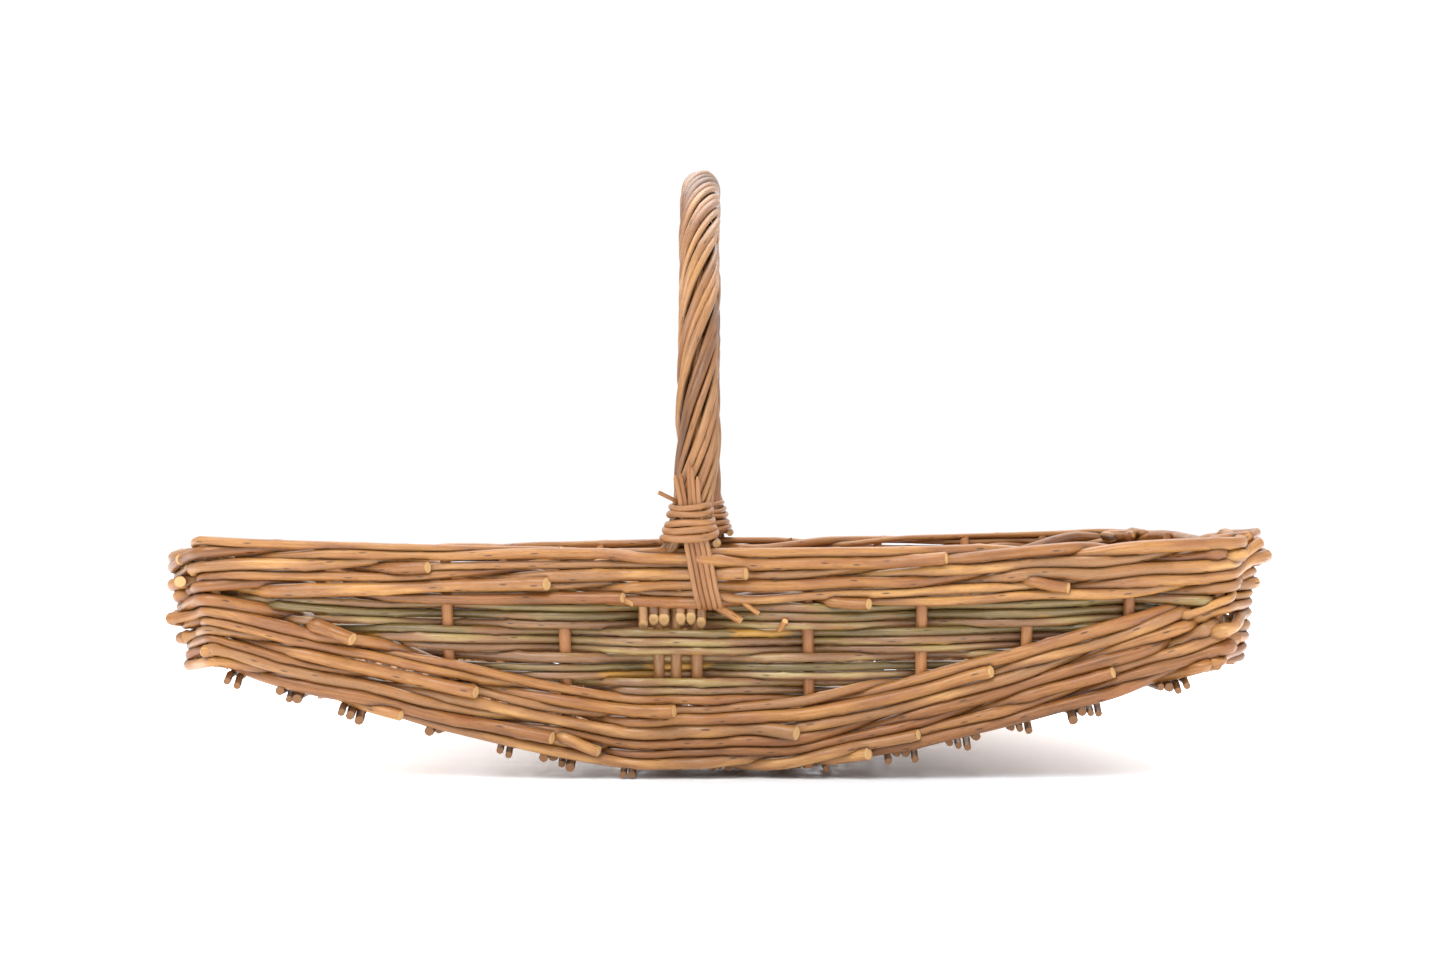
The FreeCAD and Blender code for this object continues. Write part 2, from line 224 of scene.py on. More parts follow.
def rod_faces(rings: int, sides: int, first: int) -> tuple[Array, Array]:
    """Quads between rings and two fans at the poles, every face turned outwards.

    Args:
        rings: Number of rings.
        sides: Points in a ring.
        first: Index of the rod's first point; the two poles follow its rings.

    Returns:
        The quads and the triangles.
    """
    ring, turn = np.meshgrid(np.arange(rings - 1), np.arange(sides), indexing="ij")
    here, there = ring * sides + turn, ring * sides + (turn + 1) % sides
    quads = np.stack((here, there, there + sides, here + sides), axis=-1).reshape(-1, 4)
    turn = np.arange(sides)
    after = (turn + 1) % sides
    last = (rings - 1) * sides
    head = np.stack((np.full(sides, rings * sides), after, turn), axis=-1)
    tail = np.stack((np.full(sides, rings * sides + 1), last + turn, last + after), axis=-1)
    return quads + first, np.concatenate((head, tail)) + first


def add_attribute(mesh: bpy.types.Mesh, name: str, kind: str, key: str, values: Array) -> None:
    """Puts one value per point on the mesh."""
    layer = mesh.attributes.new(name, kind, "POINT")
    layer.data.foreach_set(key, np.ascontiguousarray(values, dtype=np.float32).ravel())


def bundle(name: str, rods: Sequence[Rod], finish: bpy.types.Material,
           nodes: Sequence[str]) -> bpy.types.Object:
    """One piece made of rods, in place of the CAD nodes it stands for.

    Args:
        name: Name of the piece.
        rods: Its rods.
        finish: Its material.
        nodes: The CAD nodes that it replaces.

    Returns:
        The piece.
    """
    def with_poles(table: Array) -> Array:
        """A grid's rows in one list, with the middles of its two end rings after them."""
        return np.concatenate((table.reshape(-1, 3), table[[0, -1]].mean(axis=1)))

    rows = []
    first = 0
    for rod in rods:
        grid, grain, end, gap = rod_grid(rod)
        rings, sides = grid.shape[:2]
        points = with_poles(grid)
        rows.append((points, with_poles(grain), np.full(len(points), rod.tone),
                     np.append(end.ravel(), (1, 1)), np.append(gap.ravel(), (0, 0)),
                     *rod_faces(rings, sides, first)))
        first += len(points)
    points, grains, tones, ends, gaps, quads, fans = map(np.concatenate, zip(*rows))
    mesh = bpy.data.meshes.new(name)
    mesh.vertices.add(first)
    mesh.vertices.foreach_set("co", points.astype(np.float32).ravel())
    corners = np.concatenate((quads.ravel(), fans.ravel()))
    mesh.loops.add(len(corners))
    mesh.loops.foreach_set("vertex_index", corners.astype(np.int32))
    starts = np.concatenate((np.arange(len(quads)) * 4, quads.size + np.arange(len(fans)) * 3))
    mesh.polygons.add(len(starts))
    mesh.polygons.foreach_set("loop_start", starts.astype(np.int32))
    mesh.update(calc_edges=True)
    mesh.polygons.foreach_set("use_smooth", np.ones(len(starts), dtype=bool))
    mesh.set_sharp_from_angle(angle=SHARP_EDGE)
    add_attribute(mesh, "grain", "FLOAT_VECTOR", "vector", grains)
    # The last attribute is painted shade: how deep in a gap between rods each point lies.
    for attribute, values in (("tone", tones), ("cut_end", ends), ("crevice", gaps)):
        add_attribute(mesh, attribute, "FLOAT", "value", values)
    mesh.materials.append(finish)
    piece = bpy.data.objects.new(name, mesh)
    bpy.context.scene.collection.objects.link(piece)
    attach(piece, "root")
    if nodes:
        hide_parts(*nodes)
    LOG.info("%s: %d rods, %d faces", name, len(rods), len(starts))
    return piece


# Materials --------------------------------------------------------------------------------------

@dataclass(frozen=True)
class Signal:
    """A value in a material; sums with it add their Math nodes."""

    bench: "Bench"
    socket: bpy.types.NodeSocket

    def math(self, operation: str, first: Any, second: Any) -> "Signal":
        """One Math node."""
        return self.bench.node("ShaderNodeMath", {"operation": operation}, {0: first, 1: second})

    def __add__(self, other: Any) -> "Signal":
        """Sum."""
        return self.math("ADD", self, other)

    def __sub__(self, other: Any) -> "Signal":
        """Difference."""
        return self.math("SUBTRACT", self, other)

    def __rsub__(self, other: Any) -> "Signal":
        """Difference from a number."""
        return self.math("SUBTRACT", other, self)

    def __mul__(self, other: Any) -> "Signal":
        """Product."""
        return self.math("MULTIPLY", self, other)

    __radd__ = __add__
    __rmul__ = __mul__


@dataclass(frozen=True)
class Bench:
    """A material's node tree, with one way to add a node."""

    tree: bpy.types.NodeTree

    def node(self, kind: str, settings: dict[str, Any], inputs: dict[int | str, Any],
             output: int | str = 0) -> Signal:
        """Adds a node.

        Args:
            kind: The node's type.
            settings: Its properties; "stops" holds a ramp's places and colours.
            inputs: Values or signals by socket.
            output: The socket that is returned.

        Returns:
            The node's output.
        """
        node = self.tree.nodes.new(kind)
        for key, value in settings.items():
            if key == "stops":
                elements = node.color_ramp.elements
                for _ in range(len(value) - len(elements)):
                    elements.new(0.5)
                for element, (place, colour) in zip(elements, value):
                    element.position = place
                    element.color = colour
            else:
                setattr(node, key, value)
        for key, value in inputs.items():
            if isinstance(value, Signal):
                self.tree.links.new(value.socket, node.inputs[key])
            else:
                node.inputs[key].default_value = value
        return Signal(self, node.outputs[output])

    def blend(self, share: Any, first: Any, second: Any) -> Signal:
        """Two colours mixed by share."""
        return self.node("ShaderNodeMix", {"data_type": "RGBA"}, {0: share, 6: first, 7: second}, 2)

    def finish(self, shader: Signal) -> None:
        """Sends the shader to the surface."""
        out = self.tree.nodes.new("ShaderNodeOutputMaterial")
        self.tree.links.new(shader.socket, out.inputs["Surface"])

    def between(self, value: Signal, low: float, high: float) -> Signal:
        """0 at low, 1 at high, with a smooth rise."""
        return self.node("ShaderNodeMapRange", {"interpolation_type": "SMOOTHSTEP"},
                         {0: value, 1: low, 2: high, 3: 0.0, 4: 1.0})


def paint(red: int, green: int, blue: int) -> tuple[float, float, float, float]:
    """A screen colour as the linear light that the shader takes."""
    def linear(value: int) -> float:
        """One channel's light."""
        share = value / 255
        return share / 12.92 if share <= 0.04045 else ((share + 0.055) / 1.055) ** 2.4
    return linear(red), linear(green), linear(blue), 1.0


Stops = tuple[tuple[float, tuple[float, float, float, float]], ...]


@dataclass(frozen=True)
class WillowFinish:
    """Peeled or green willow: tone, streaks, patches, specks, cut ends and a satin skin."""

    slot: str
    tones: Stops
    patches: Stops
    patchiness: float
    speck: tuple[float, float, float, float]
    heart: tuple[float, float, float, float]
    roughness: float
    coat: float
    flush: tuple[float, float, float, float] | None = None

    def material(self) -> bpy.types.Material:
        """Builds the node tree.

        A grain vector runs round and along each rod. Long noise gives streaks, slow noise gives
        patches of bark, and cells far apart along the rod give its buds and specks.
        """
        material = bpy.data.materials.new(self.slot + "_rods")
        material.use_nodes = True
        tree = material.node_tree
        tree.nodes.clear()
        bench = Bench(tree)

        def carried(name: str, output: str) -> Signal:
            """What the mesh carries at each point."""
            return bench.node("ShaderNodeAttribute", {"attribute_name": name}, {}, output)

        def scaled(around: float, along: float) -> Signal:
            """The grain vector, stretched round the rod and along it."""
            return bench.node("ShaderNodeVectorMath", {"operation": "MULTIPLY"},
                              {0: grain, 1: (around, around, along)})

        def noise(around: float, along: float, detail: float) -> Signal:
            """Noise on the grain."""
            return bench.node("ShaderNodeTexNoise", {},
                              {"Vector": scaled(around, along), "Scale": 1.0, "Detail": detail})

        def spots(around: float, along: float) -> Signal:
            """Distance from points scattered over the grain."""
            return bench.node("ShaderNodeTexVoronoi", {},
                              {"Vector": scaled(around, along), "Scale": 1.0}, "Distance")

        grain = carried("grain", "Vector")
        tone, end, gap = (carried(name, "Fac") for name in ("tone", "cut_end", "crevice"))
        streaks = noise(2.6, 0.05, 3.0)
        slow = noise(0.35, 0.022, 2.0)
        fine = noise(5.0, 0.22, 4.0)
        cells = spots(0.9, 0.055)
        dots = spots(1.9, 0.42)

        value = tone * 0.72 + streaks * 0.5 + slow * 0.4 - 0.33
        skin = bench.node("ShaderNodeValToRGB", {"stops": self.tones}, {"Fac": value}, "Color")
        bark = bench.node("ShaderNodeValToRGB", {"stops": self.patches},
                          {"Fac": slow * 1.5 + tone * 0.5 - 0.5}, "Color")
        colour = bench.blend(bench.between(slow + tone * 0.3, 0.5, 0.78) * self.patchiness,
                             skin, bark)
        if self.flush is not None:
            bright = noise(0.12, 0.016, 0.0)
            colour = bench.blend(bench.between(bright + fine * 0.16, 0.7, 0.77) * 0.75, colour,
                                 self.flush)
        bud = 1 - bench.between(cells, 0.07, 0.17)
        dot = 1 - bench.between(dots, 0.05, 0.17)
        colour = bench.blend(bud * 0.85 + dot * 0.45, colour, self.speck)
        colour = bench.blend(bench.between(fine, 0.5, 0.75) * 0.34, colour, self.speck)
        # Painted shade: each rod darkens towards a deep brown where it lies in a gap between rods.
        colour = bench.blend(gap * (0.62 + streaks * 0.4), colour, GAP_SHADE)
        colour = bench.blend(end, colour, self.heart)

        height = fine * 0.6 + streaks * 0.9 - bud * 0.5
        normal = bench.node("ShaderNodeBump", {}, {"Strength": 0.35, "Distance": 0.0005,
                                                   "Height": height})
        rough = streaks * 0.22 + end * 0.3 + (self.roughness - 0.11)
        shader = bench.node("ShaderNodeBsdfPrincipled", {}, {
            "Base Color": colour, "Roughness": rough, "Normal": normal,
            "Coat Weight": self.coat, "Coat Roughness": 0.32, "Specular IOR Level": 0.42})
        bench.finish(shader)
        return material


# The deep brown of the painted shade in the gaps between rods.
GAP_SHADE = paint(38, 20, 10)
CREAM = paint(206, 164, 110)
# The floor rods' cut ends: a darker brown than the walls' cream ones.
DARK_CUT = paint(132, 92, 58)
BUFF = WillowFinish(
    "buff_willow",
    ((0.0, paint(90, 52, 26)), (0.26, paint(146, 94, 46)), (0.58, paint(190, 137, 74)),
     (1.0, paint(224, 180, 116))),
    ((0.0, paint(158, 104, 54)), (0.55, paint(134, 78, 42)), (1.0, paint(100, 54, 34))),
    0.7, paint(58, 32, 17), CREAM, 0.37, 0.22)
GREEN = WillowFinish(
    "green_willow",
    ((0.0, paint(82, 64, 36)), (0.33, paint(132, 110, 62)), (0.62, paint(164, 140, 84)),
     (1.0, paint(206, 190, 142))),
    ((0.0, paint(168, 122, 72)), (0.5, paint(144, 98, 62)), (1.0, paint(112, 72, 48))),
    0.9, paint(52, 30, 20), CREAM, 0.3, 0.3, paint(204, 148, 56))
BASE = WillowFinish(
    "base_willow",
    ((0.0, paint(132, 84, 46)), (0.5, paint(180, 128, 78)), (1.0, paint(208, 162, 108))),
    ((0.0, paint(156, 104, 60)), (1.0, paint(122, 70, 42))),
    0.45, paint(80, 46, 28), DARK_CUT, 0.48, 0.1)
STAKE = WillowFinish(
    "stake_willow",
    ((0.0, paint(122, 72, 38)), (0.5, paint(178, 120, 68)), (1.0, paint(214, 158, 98))),
    ((0.0, paint(150, 96, 54)), (1.0, paint(112, 64, 38))),
    0.5, paint(70, 38, 22), CREAM, 0.46, 0.1)
HANDLE = WillowFinish(
    "handle_willow",
    ((0.0, paint(92, 56, 31)), (0.36, paint(150, 102, 59)), (0.66, paint(188, 138, 84)),
     (1.0, paint(218, 172, 114))),
    ((0.0, paint(142, 94, 54)), (1.0, paint(106, 60, 36))),
    0.6, paint(60, 34, 20), CREAM, 0.38, 0.2)
TIE = WillowFinish(
    "tie_willow",
    ((0.0, paint(112, 66, 34)), (0.5, paint(164, 112, 66)), (1.0, paint(204, 156, 104))),
    ((0.0, paint(140, 88, 50)), (1.0, paint(104, 60, 36))),
    0.4, paint(70, 40, 24), CREAM, 0.4, 0.18)
FINISHES = (BUFF, GREEN, BASE, STAKE, HANDLE, TIE)
PLAIN_GRAIN = 260.0  # scale of Object coordinates, in place of the grain vector
MIDDLE_TONE = 0.5


def cad_grain(material: bpy.types.Material) -> bpy.types.Material:
    """A copy of a finish for CAD nodes, which carry no grain: it reads Object coordinates.

    Args:
        material: The finish.

    Returns:
        The copy, with an even tone, no cut ends and no painted shade in the gaps.
    """
    copy = material.copy()
    copy.name = material.name + "_plain"
    tree = copy.node_tree
    for node in list(tree.nodes):
        if node.bl_idname != "ShaderNodeAttribute":
            continue
        source = None
        if node.attribute_name == "grain":
            scale = tree.nodes.new("ShaderNodeMapping")
            scale.inputs["Scale"].default_value = (PLAIN_GRAIN,) * 3
            place = tree.nodes.new("ShaderNodeTexCoord")
            tree.links.new(place.outputs["Object"], scale.inputs["Vector"])
            source = scale.outputs["Vector"]
        for link in list(node.outputs["Vector"].links) + list(node.outputs["Fac"].links):
            target = link.to_socket
            tree.links.remove(link)
            if source is not None:
                tree.links.new(source, target)
            else:
                target.default_value = MIDDLE_TONE if node.attribute_name == "tone" else 0.0
        tree.nodes.remove(node)
    return copy


# Walls ------------------------------------------------------------------------------------------

FINE_STEP = 0.5


@dataclass(frozen=True)
class Plan:
    """The closed line of the stakes at the rim, and the heights along it."""

    half_length: float
    half_width: float
    cut_x: float = 18.0
    cut_y: float = 30.0
    lean: float = 0.14
    keel_flat: float = 40.0
    keel_rise: float = 55.0
    keel_power: float = 1.2
    rim_middle: float = 122.0
    rim_lift: float = 6.0
    back_dip: float = 10.0
    step: float = 2.2
    corner_ease: float = 3.2

    @classmethod
    def from_frame(cls, stake_radius: float) -> "Plan":
        """Takes the walls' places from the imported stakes."""
        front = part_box("stakes_front")[0][1] / MM
        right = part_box("stakes_right")[1][0] / MM
        return cls(half_length=right - stake_radius, half_width=-front - stake_radius)

    @property
    def straight(self) -> float:
        """Half of a long wall's straight run."""
        return self.half_length - self.cut_x

    @property
    def end_run(self) -> float:
        """Half of an end wall's straight run."""
        return self.half_width - self.cut_y

    @property
    def cut(self) -> float:
        """Length of a cut corner."""
        return float(np.hypot(self.cut_x, self.cut_y))

    @property
    def round(self) -> float:
        """Length of the whole closed line."""
        return 4 * (self.straight + self.end_run + self.cut)

    def middle(self, wall: Wall) -> float:
        """Where the middle of a wall is along the line."""
        quarter = self.straight + self.cut + self.end_run
        return {Wall.FRONT: 0.0, Wall.RIGHT: quarter, Wall.BACK: 2 * quarter,
                Wall.LEFT: 3 * quarter}[wall]

    def half_run(self, wall: Wall) -> float:
        """Half of a wall's straight run."""
        return self.straight if wall in (Wall.FRONT, Wall.BACK) else self.end_run

    def offset(self, s: Array, place: float) -> Array:
        """How far along the line each station lies from a place, the shorter way round."""
        return (s - place + self.round / 2) % self.round - self.round / 2

    def wall_at(self, s: float) -> Wall:
        """The wall whose straight run is nearest."""
        return min(Wall, key=lambda wall: abs(self.offset(s, self.middle(wall)))
                   - self.half_run(wall))

    def stations(self) -> Array:
        """Evenly spaced places along the line."""
        return np.arange(int(self.round / self.step)) * self.round / int(self.round / self.step)

    def ground(self, s: Array) -> tuple[Array, Array]:
        """Plan points and outward normals: an octagon whose corners a bell average rounds.

        Args:
            s: Places along the line.

        Returns:
            The points and the normals, each (places, 2).
        """
        x, y = self.straight, self.half_width
        u, v = self.half_length, self.end_run
        corners = np.array([(0, -y), (x, -y), (u, -v), (u, v), (x, y), (-x, y), (-u, v),
                            (-u, -v), (-x, -y), (0, -y)], dtype=float)
        places = np.concatenate(([0.0], np.cumsum(
            np.linalg.norm(np.diff(corners, axis=0), axis=1))))
        fine = np.arange(0.0, self.round, FINE_STEP)
        bell = np.exp(-0.5 * self.offset(fine, 0.0) ** 2 / self.corner_ease ** 2)
        bell /= bell.sum()
        waves = np.fft.rfft([np.interp(fine, places, column) for column in corners.T])
        eased = np.fft.irfft(waves * np.fft.rfft(bell), len(fine)).T
        ahead = unit(np.roll(eased, -1, axis=0) - np.roll(eased, 1, axis=0))
        outward = np.stack((ahead[:, 1], -ahead[:, 0]), axis=1)

        def read(table: Array) -> Array:
            """A table's rows at the places."""
            return np.stack([np.interp(s, fine, c, period=self.round) for c in table.T], axis=1)
        return read(eased), unit(read(outward))

    def keel(self, x: Array) -> Array:
        """Underside of the base: flat in the middle, then rising by a power of the run."""
        run = np.clip(np.minimum(np.abs(x), self.straight) - self.keel_flat, 0.0, None)
        return self.keel_rise * (run / (self.straight - self.keel_flat)) ** self.keel_power

    def rim(self, x: Array, y: Array) -> Array:
        """Top of the border: a shallow parabola that dips to the back left corner."""
        share = np.minimum(np.abs(x), self.straight) / self.straight
        back = np.clip((y + self.end_run) / (2 * self.end_run), 0, 1)
        dip = self.back_dip * np.where(x < 0, share, 0.0) * back
        return self.rim_middle + self.rim_lift * share ** 2 - dip


@dataclass
class Thread:
    """One wall rod before it settles: its row, its span and its targets at every station."""

    group: str
    row: int
    begin: float
    length: float
    z: Array
    n: Array
    r: Array
    tone: float
    seed: int
    start: Cut
    end: Cut
    crevice: Array | None = None


PAIR_BLOCKS = 40  # rods are compared in this many batches, which keeps the memory small
PAIR_REACH = 9.0  # two rods that stay further apart than this in height never touch
STAKE_SEED, END_SEED = 500, 1500
Spot = tuple[float, float, float]  # a cut end's radius, x and z


@dataclass
class Walls:
    """The weaving of all four walls, laid by rule and then settled against itself."""

    plan: Plan
    stake_radius: float = 3.0
    corner_radius: float = 3.6
    foot_radius: float = 6.0
    long_stakes: tuple[float, ...] = (-208, -142, -79, 48, 107, 163, 215)
    end_stakes: tuple[float, ...] = (-90, -30, 30, 90)
    handle_foot: tuple[float, float] = (-38, -6)
    lower_rows: int = 9
    lower_height: float = 38.6
    lower_lift: float = 4.7
    upper_rows: int = 7
    upper_height: float = 29.4
    border_rows: int = 3
    slew_rows: int = 11
    slew_group: int = 3
    slew_pitch: float = 4.45
    cycle_posts: int = 4
    butt: float = 3.4
    tip: float = 2.1
    stiff_z: float = 24.0
    stiff_n: float = 9.0
    lap: float = 28.0
    slew_radius: float = 2.15
    taper_length: float = 260.0
    climb: float = 4.8
    swell_range: tuple[float, float] = (0.96, 1.3)
    rounds: int = 90
    stray: float = 1.2
    lower_butts: tuple[int, int, float] = (11, 9, 0.12)
    upper_butts: tuple[int, int, float] = (7, 6, 0.68)
    butt_reach: float = 0.82
    pair_reach: float = 60.0
    inside_share: float = 0.86
    begin_run: float = 36.0
    finish_run: float = 40.0
    over_butt: float = 2.0
    over_tip: float = 20.0
    tuck: float = 2.3
    swell_ease: float = 12.0
    hug: float = 0.96
    pull: float = 0.03
    bottom_slack: float = 0.5
    post_reach: float = 5.0
    beside_post: float = 0.4
    post_ease: float = 3.0
    last_ease: tuple[float, float] = (7.0, 3.0)
    sag_foot: float = 0.4
    green_knots: float = 0.3
    stake_step: float = 2.5
    stake_top: float = 1.0
    corner_top: float = 4.0
    right_sag: tuple[float, float, float] = (4.0, -3.0, 0.0)
    left_sag: tuple[float, float, float] = (0.0, -3.0, -7.0)
    gap_width: float = 0.9
    shortest: float = 175.0
    left_ends: tuple[Spot, ...] = ((3.0, -281.0, 116.0), (3.2, -281.5, 104.0))
    right_ends: tuple[Spot, ...] = ((2.7, 281.0, 128.0), (2.9, 287.0, 125.0))
    stubs: tuple[tuple[Spot, Spot], ...] = (
        ((2.0, -4, 94), (2.0, 13, 84)), ((1.3, 12, 95), (1.3, 22, 88)),
        ((1.7, 33, 79), (1.7, 36, 84)), ((1.5, -52, 97), (1.5, -43, 93)))
    end_tone: float = 0.55
    seed: int = 41
    threads: list[Thread] = field(default_factory=list)

    def __post_init__(self) -> None:
        """Works out the stations, the ground line and the posts."""
        self.s = self.plan.stations()
        self.ground, self.outward = self.plan.ground(self.s)
        self.keel = self.plan.keel(self.ground[:, 0])
        self.rim = self.plan.rim(self.ground[:, 0], self.ground[:, 1])
        self.draw = np.random.default_rng(self.seed)
        self.posts = self.set_posts()
        self.sag = self.end_sag()

    def set_posts(self) -> list[tuple[float, float, int]]:
        """Every post as (place, radius, count); a handle foot's two sides share one count."""
        plan, places = self.plan, []
        for wall, way in ((Wall.FRONT, 1), (Wall.BACK, -1)):
            middle = plan.middle(wall)
            places += [(middle + way * x, self.stake_radius) for x in self.long_stakes]
            places += [(middle + way * x, self.foot_radius) for x in self.handle_foot]
            places += [(middle + side * plan.straight, self.corner_radius) for side in (-1, 1)]
        for wall, way in ((Wall.RIGHT, 1), (Wall.LEFT, -1)):
            middle = plan.middle(wall)
            places += [(middle + way * y, self.stake_radius) for y in self.end_stakes]
            places += [(middle + side * plan.end_run, self.corner_radius) for side in (-1, 1)]
        ordered = sorted((s % plan.round, r) for s, r in places)
        posts, count = [], -1
        for place, radius in ordered:
            paired = posts and radius == posts[-1][1] == self.foot_radius
            near = posts and place - posts[-1][0] < self.pair_reach
            if not (paired and near):
                count += 1
            posts.append((place, radius, count))
        if posts[0][1] == posts[-1][1] == self.foot_radius:
            posts[0] = (posts[0][0], posts[0][1], posts[-1][2])
        return posts

    def end_sag(self) -> Array:
        """How far the end walls' rods lie off the rim's curve, eased to nothing at the long walls.

        Each end wall has a value at its start, middle and end, joined by straight runs.
        """
        plan, sag = self.plan, np.zeros(len(self.s))
        for wall, values in ((Wall.RIGHT, self.right_sag), (Wall.LEFT, self.left_sag)):
            run = plan.offset(self.s, plan.middle(wall))
            reach = plan.end_run
            places = (-reach - plan.cut, -reach, 0.0, reach, reach + plan.cut)
            sag += np.interp(run, places, (0.0, *values, 0.0), left=0.0, right=0.0)
        return sag

    def from_posts(self, values: Sequence[float]) -> Array:
        """Values at the posts carried along the line by a smooth S from each to the next."""
        places = np.array([p[0] for p in self.posts])
        table = np.asarray(values, dtype=float)
        index = np.searchsorted(places, self.s, side="right")
        before, after = (index - 1) % len(places), index % len(places)
        gap = (places[after] - places[before]) % self.plan.round
        share = smoothstep(((self.s - places[before]) % self.plan.round) / gap)
        return table[before] * (1 - share) + table[after] * share

    def cycle(self, row: int) -> Array:
        """How many posts each station is past the row's last inside post, in its cycle."""
        places = np.array([p[0] for p in self.posts])
        counts = np.unwrap(np.array([p[2] for p in self.posts], dtype=float),
                           period=self.posts[-1][2] + 1)
        counts -= counts[0]
        places = np.concatenate((places, [places[0] + self.plan.round]))
        counts = np.concatenate((counts, [counts[-1] + 1]))
        s = np.where(self.s < places[0], self.s + self.plan.round, self.s)
        return (np.interp(s, places, counts) + row) % self.cycle_posts

    def spans(self, group: str, row: int) -> list[tuple[float, float, bool]]:
        """A row shared out among rods, as (begin, length, whether its butt shows).

        A rod ends near each corner, a little way round it or short of it. The front has its own
        butts by row, and the back has the same ones the other way round.
        """
        plan, joints = self.plan, []
        butts = self.butts(group, row)
        for wall in Wall:
            middle = plan.middle(wall)
            long_wall = wall in (Wall.FRONT, Wall.BACK)
            joints.append((middle + plan.half_run(wall) + self.draw.uniform(-30, 50), False))
            if long_wall:
                joints += [(middle + x, True) for x in butts]
        joints = sorted((j % plan.round, shows) for j, shows in joints)
        after = joints[1:] + [(joints[0][0] + plan.round, joints[0][1])]
        joints = [own for own, (place, shows) in zip(joints, after)
                  if own[1] or not shows or place - own[0] > self.shortest]
        begins = [joints[-1][0] - plan.round] + [j for j, _ in joints[:-1]]
        return [(begin, end - begin, shows) for begin, (end, shows) in zip(begins, joints)]

    def butts(self, group: str, row: int) -> list[float]:
        """Where a row's butts show on a long wall, from its middle.

        A band has so many butts, dealt out to so many rows from the bottom up. Each stands a
        golden section of the run on from the one before, so that none come close together.
        """
        count, rows, start = self.lower_butts if group == "lower" else self.upper_butts
        reach = self.butt_reach * self.plan.straight
        return [reach * (2 * ((start + number * GOLDEN) % 1) - 1)
                for number in range(count) if number % rows == row]

    def taper(self, begin: float, length: float, butt: float, tip: float) -> Array:
        """Radius along the line, from the tip at begin to the butt; a long rod starts thinner."""
        run = (self.s - begin) % self.plan.round
        left = np.clip(length - run, 0, None)
        return tip + (butt - tip) * np.exp(-(left / self.taper_length) ** 2)

    def pass_posts(self, group: str, row: int) -> tuple[Array, Array]:
        """How a row passes the posts, and how it climbs.

        It passes inside one post in each cycle, and the next row does so one post on. It climbs
        over its outside run and drops back inside. The upper band stays outside the handle's feet.

        Args:
            group: The row's band.
            row: Its number.

        Returns:
            By station, 1 outside to -1 inside, and the climb from -1 to 1.
        """
        at_posts = []
        for _, radius, count in self.posts:
            covers = group == "upper" and radius == self.foot_radius
            hidden = (count + row) % self.cycle_posts == 0 and not covers
            at_posts.append(-1.0 if hidden else 1.0)
        last = self.cycle_posts
        climb = np.interp(self.cycle(row), (0.0, 0.4, last - 0.4, last), (0.0, -1.0, 1.0, 0.0))
        return self.from_posts(at_posts), self.draw.uniform(0.75, 1.25) * climb

    def deal_rods(self, group: str, row: int) -> tuple[list[tuple[float, float, bool, Array]], Array]:
        """Shares a row out among its rods.

        Args:
            group: The row's band.
            row: Its number.

        Returns:
            Each rod as (begin, length, whether its butt shows, radius), and the row's radius.
        """
        rods, thick = [], np.zeros(len(self.s))
        for begin, length, shows in self.spans(group, row):
            butt = self.butt * self.draw.uniform(0.86, 1.12)
            radius = self.taper(begin, length, butt, self.tip * self.draw.uniform(0.9, 1.2))
            thick = np.where((self.s - begin) % self.plan.round <= length, radius, thick)
            rods.append((begin, length, shows, radius))
        return rods, thick

    def lay_wale(self, group: str, rows: int, bottom: Array, height: float) -> None:
        """Lays a band of wale.

        A row's share of the band's height is its thickness, less where it is inside. Rods swell
        or thin a little, so that the rows that show fill the band.

        Args:
            group: The band's name.
            rows: Number of rows.
            bottom: Height of the band's lower edge.
            height: Height from there to its upper edge.
        """
        states, climbs = zip(*[self.pass_posts(group, row) for row in range(rows)])
        laid = [self.deal_rods(group, row) for row in range(rows)]
        seen = sum(2 * thick * (0.5 + 0.5 * state) for (_, thick), state in zip(laid, states))
        swell = eased_round(np.clip(height / seen, *self.swell_range), self.plan.step,
                            self.swell_ease)
        inside = self.inside_share
        share = np.array([thick * (inside + (1 - inside) * (0.5 + 0.5 * state))
                          for (_, thick), state in zip(laid, states)])
        top = np.cumsum(share, axis=0)
        middle = (top - share / 2) / top[-1]
        for row, ((rods, _), state) in enumerate(zip(laid, states)):
            z = bottom + middle[row] * height + climbs[row] * self.climb * self.room(row, rows)
            for begin, length, shows, radius in rods:
                radius = radius * swell
                tucked = self.stake_radius + self.tuck * radius
                whole = length + (self.over_butt if shows else self.over_tip) + self.lap
                run = (self.s - begin + self.lap) % self.plan.round
                start = 1 - smoothstep(run / self.begin_run)
                end = 1 - smoothstep((whole - run) / self.finish_run)
                n = state * (self.stake_radius + radius) * (1 - start) - start * tucked
                n = n * (1 - end) + (end if shows else -end) * tucked
                self.threads.append(Thread(
                    group, row, begin - self.lap, whole, z.copy(), n, radius,
                    float(self.draw.beta(1.6, 1.6)), int(self.draw.integers(1 << 30)),
                    Cut.TIP, Cut.SLANTED if shows else Cut.SQUARE))

    @staticmethod
    def room(row: int, rows: int) -> float:
        """How freely a row climbs: less at a band's edges."""
        return 0.55 if row in (0, rows - 1) else 1.0

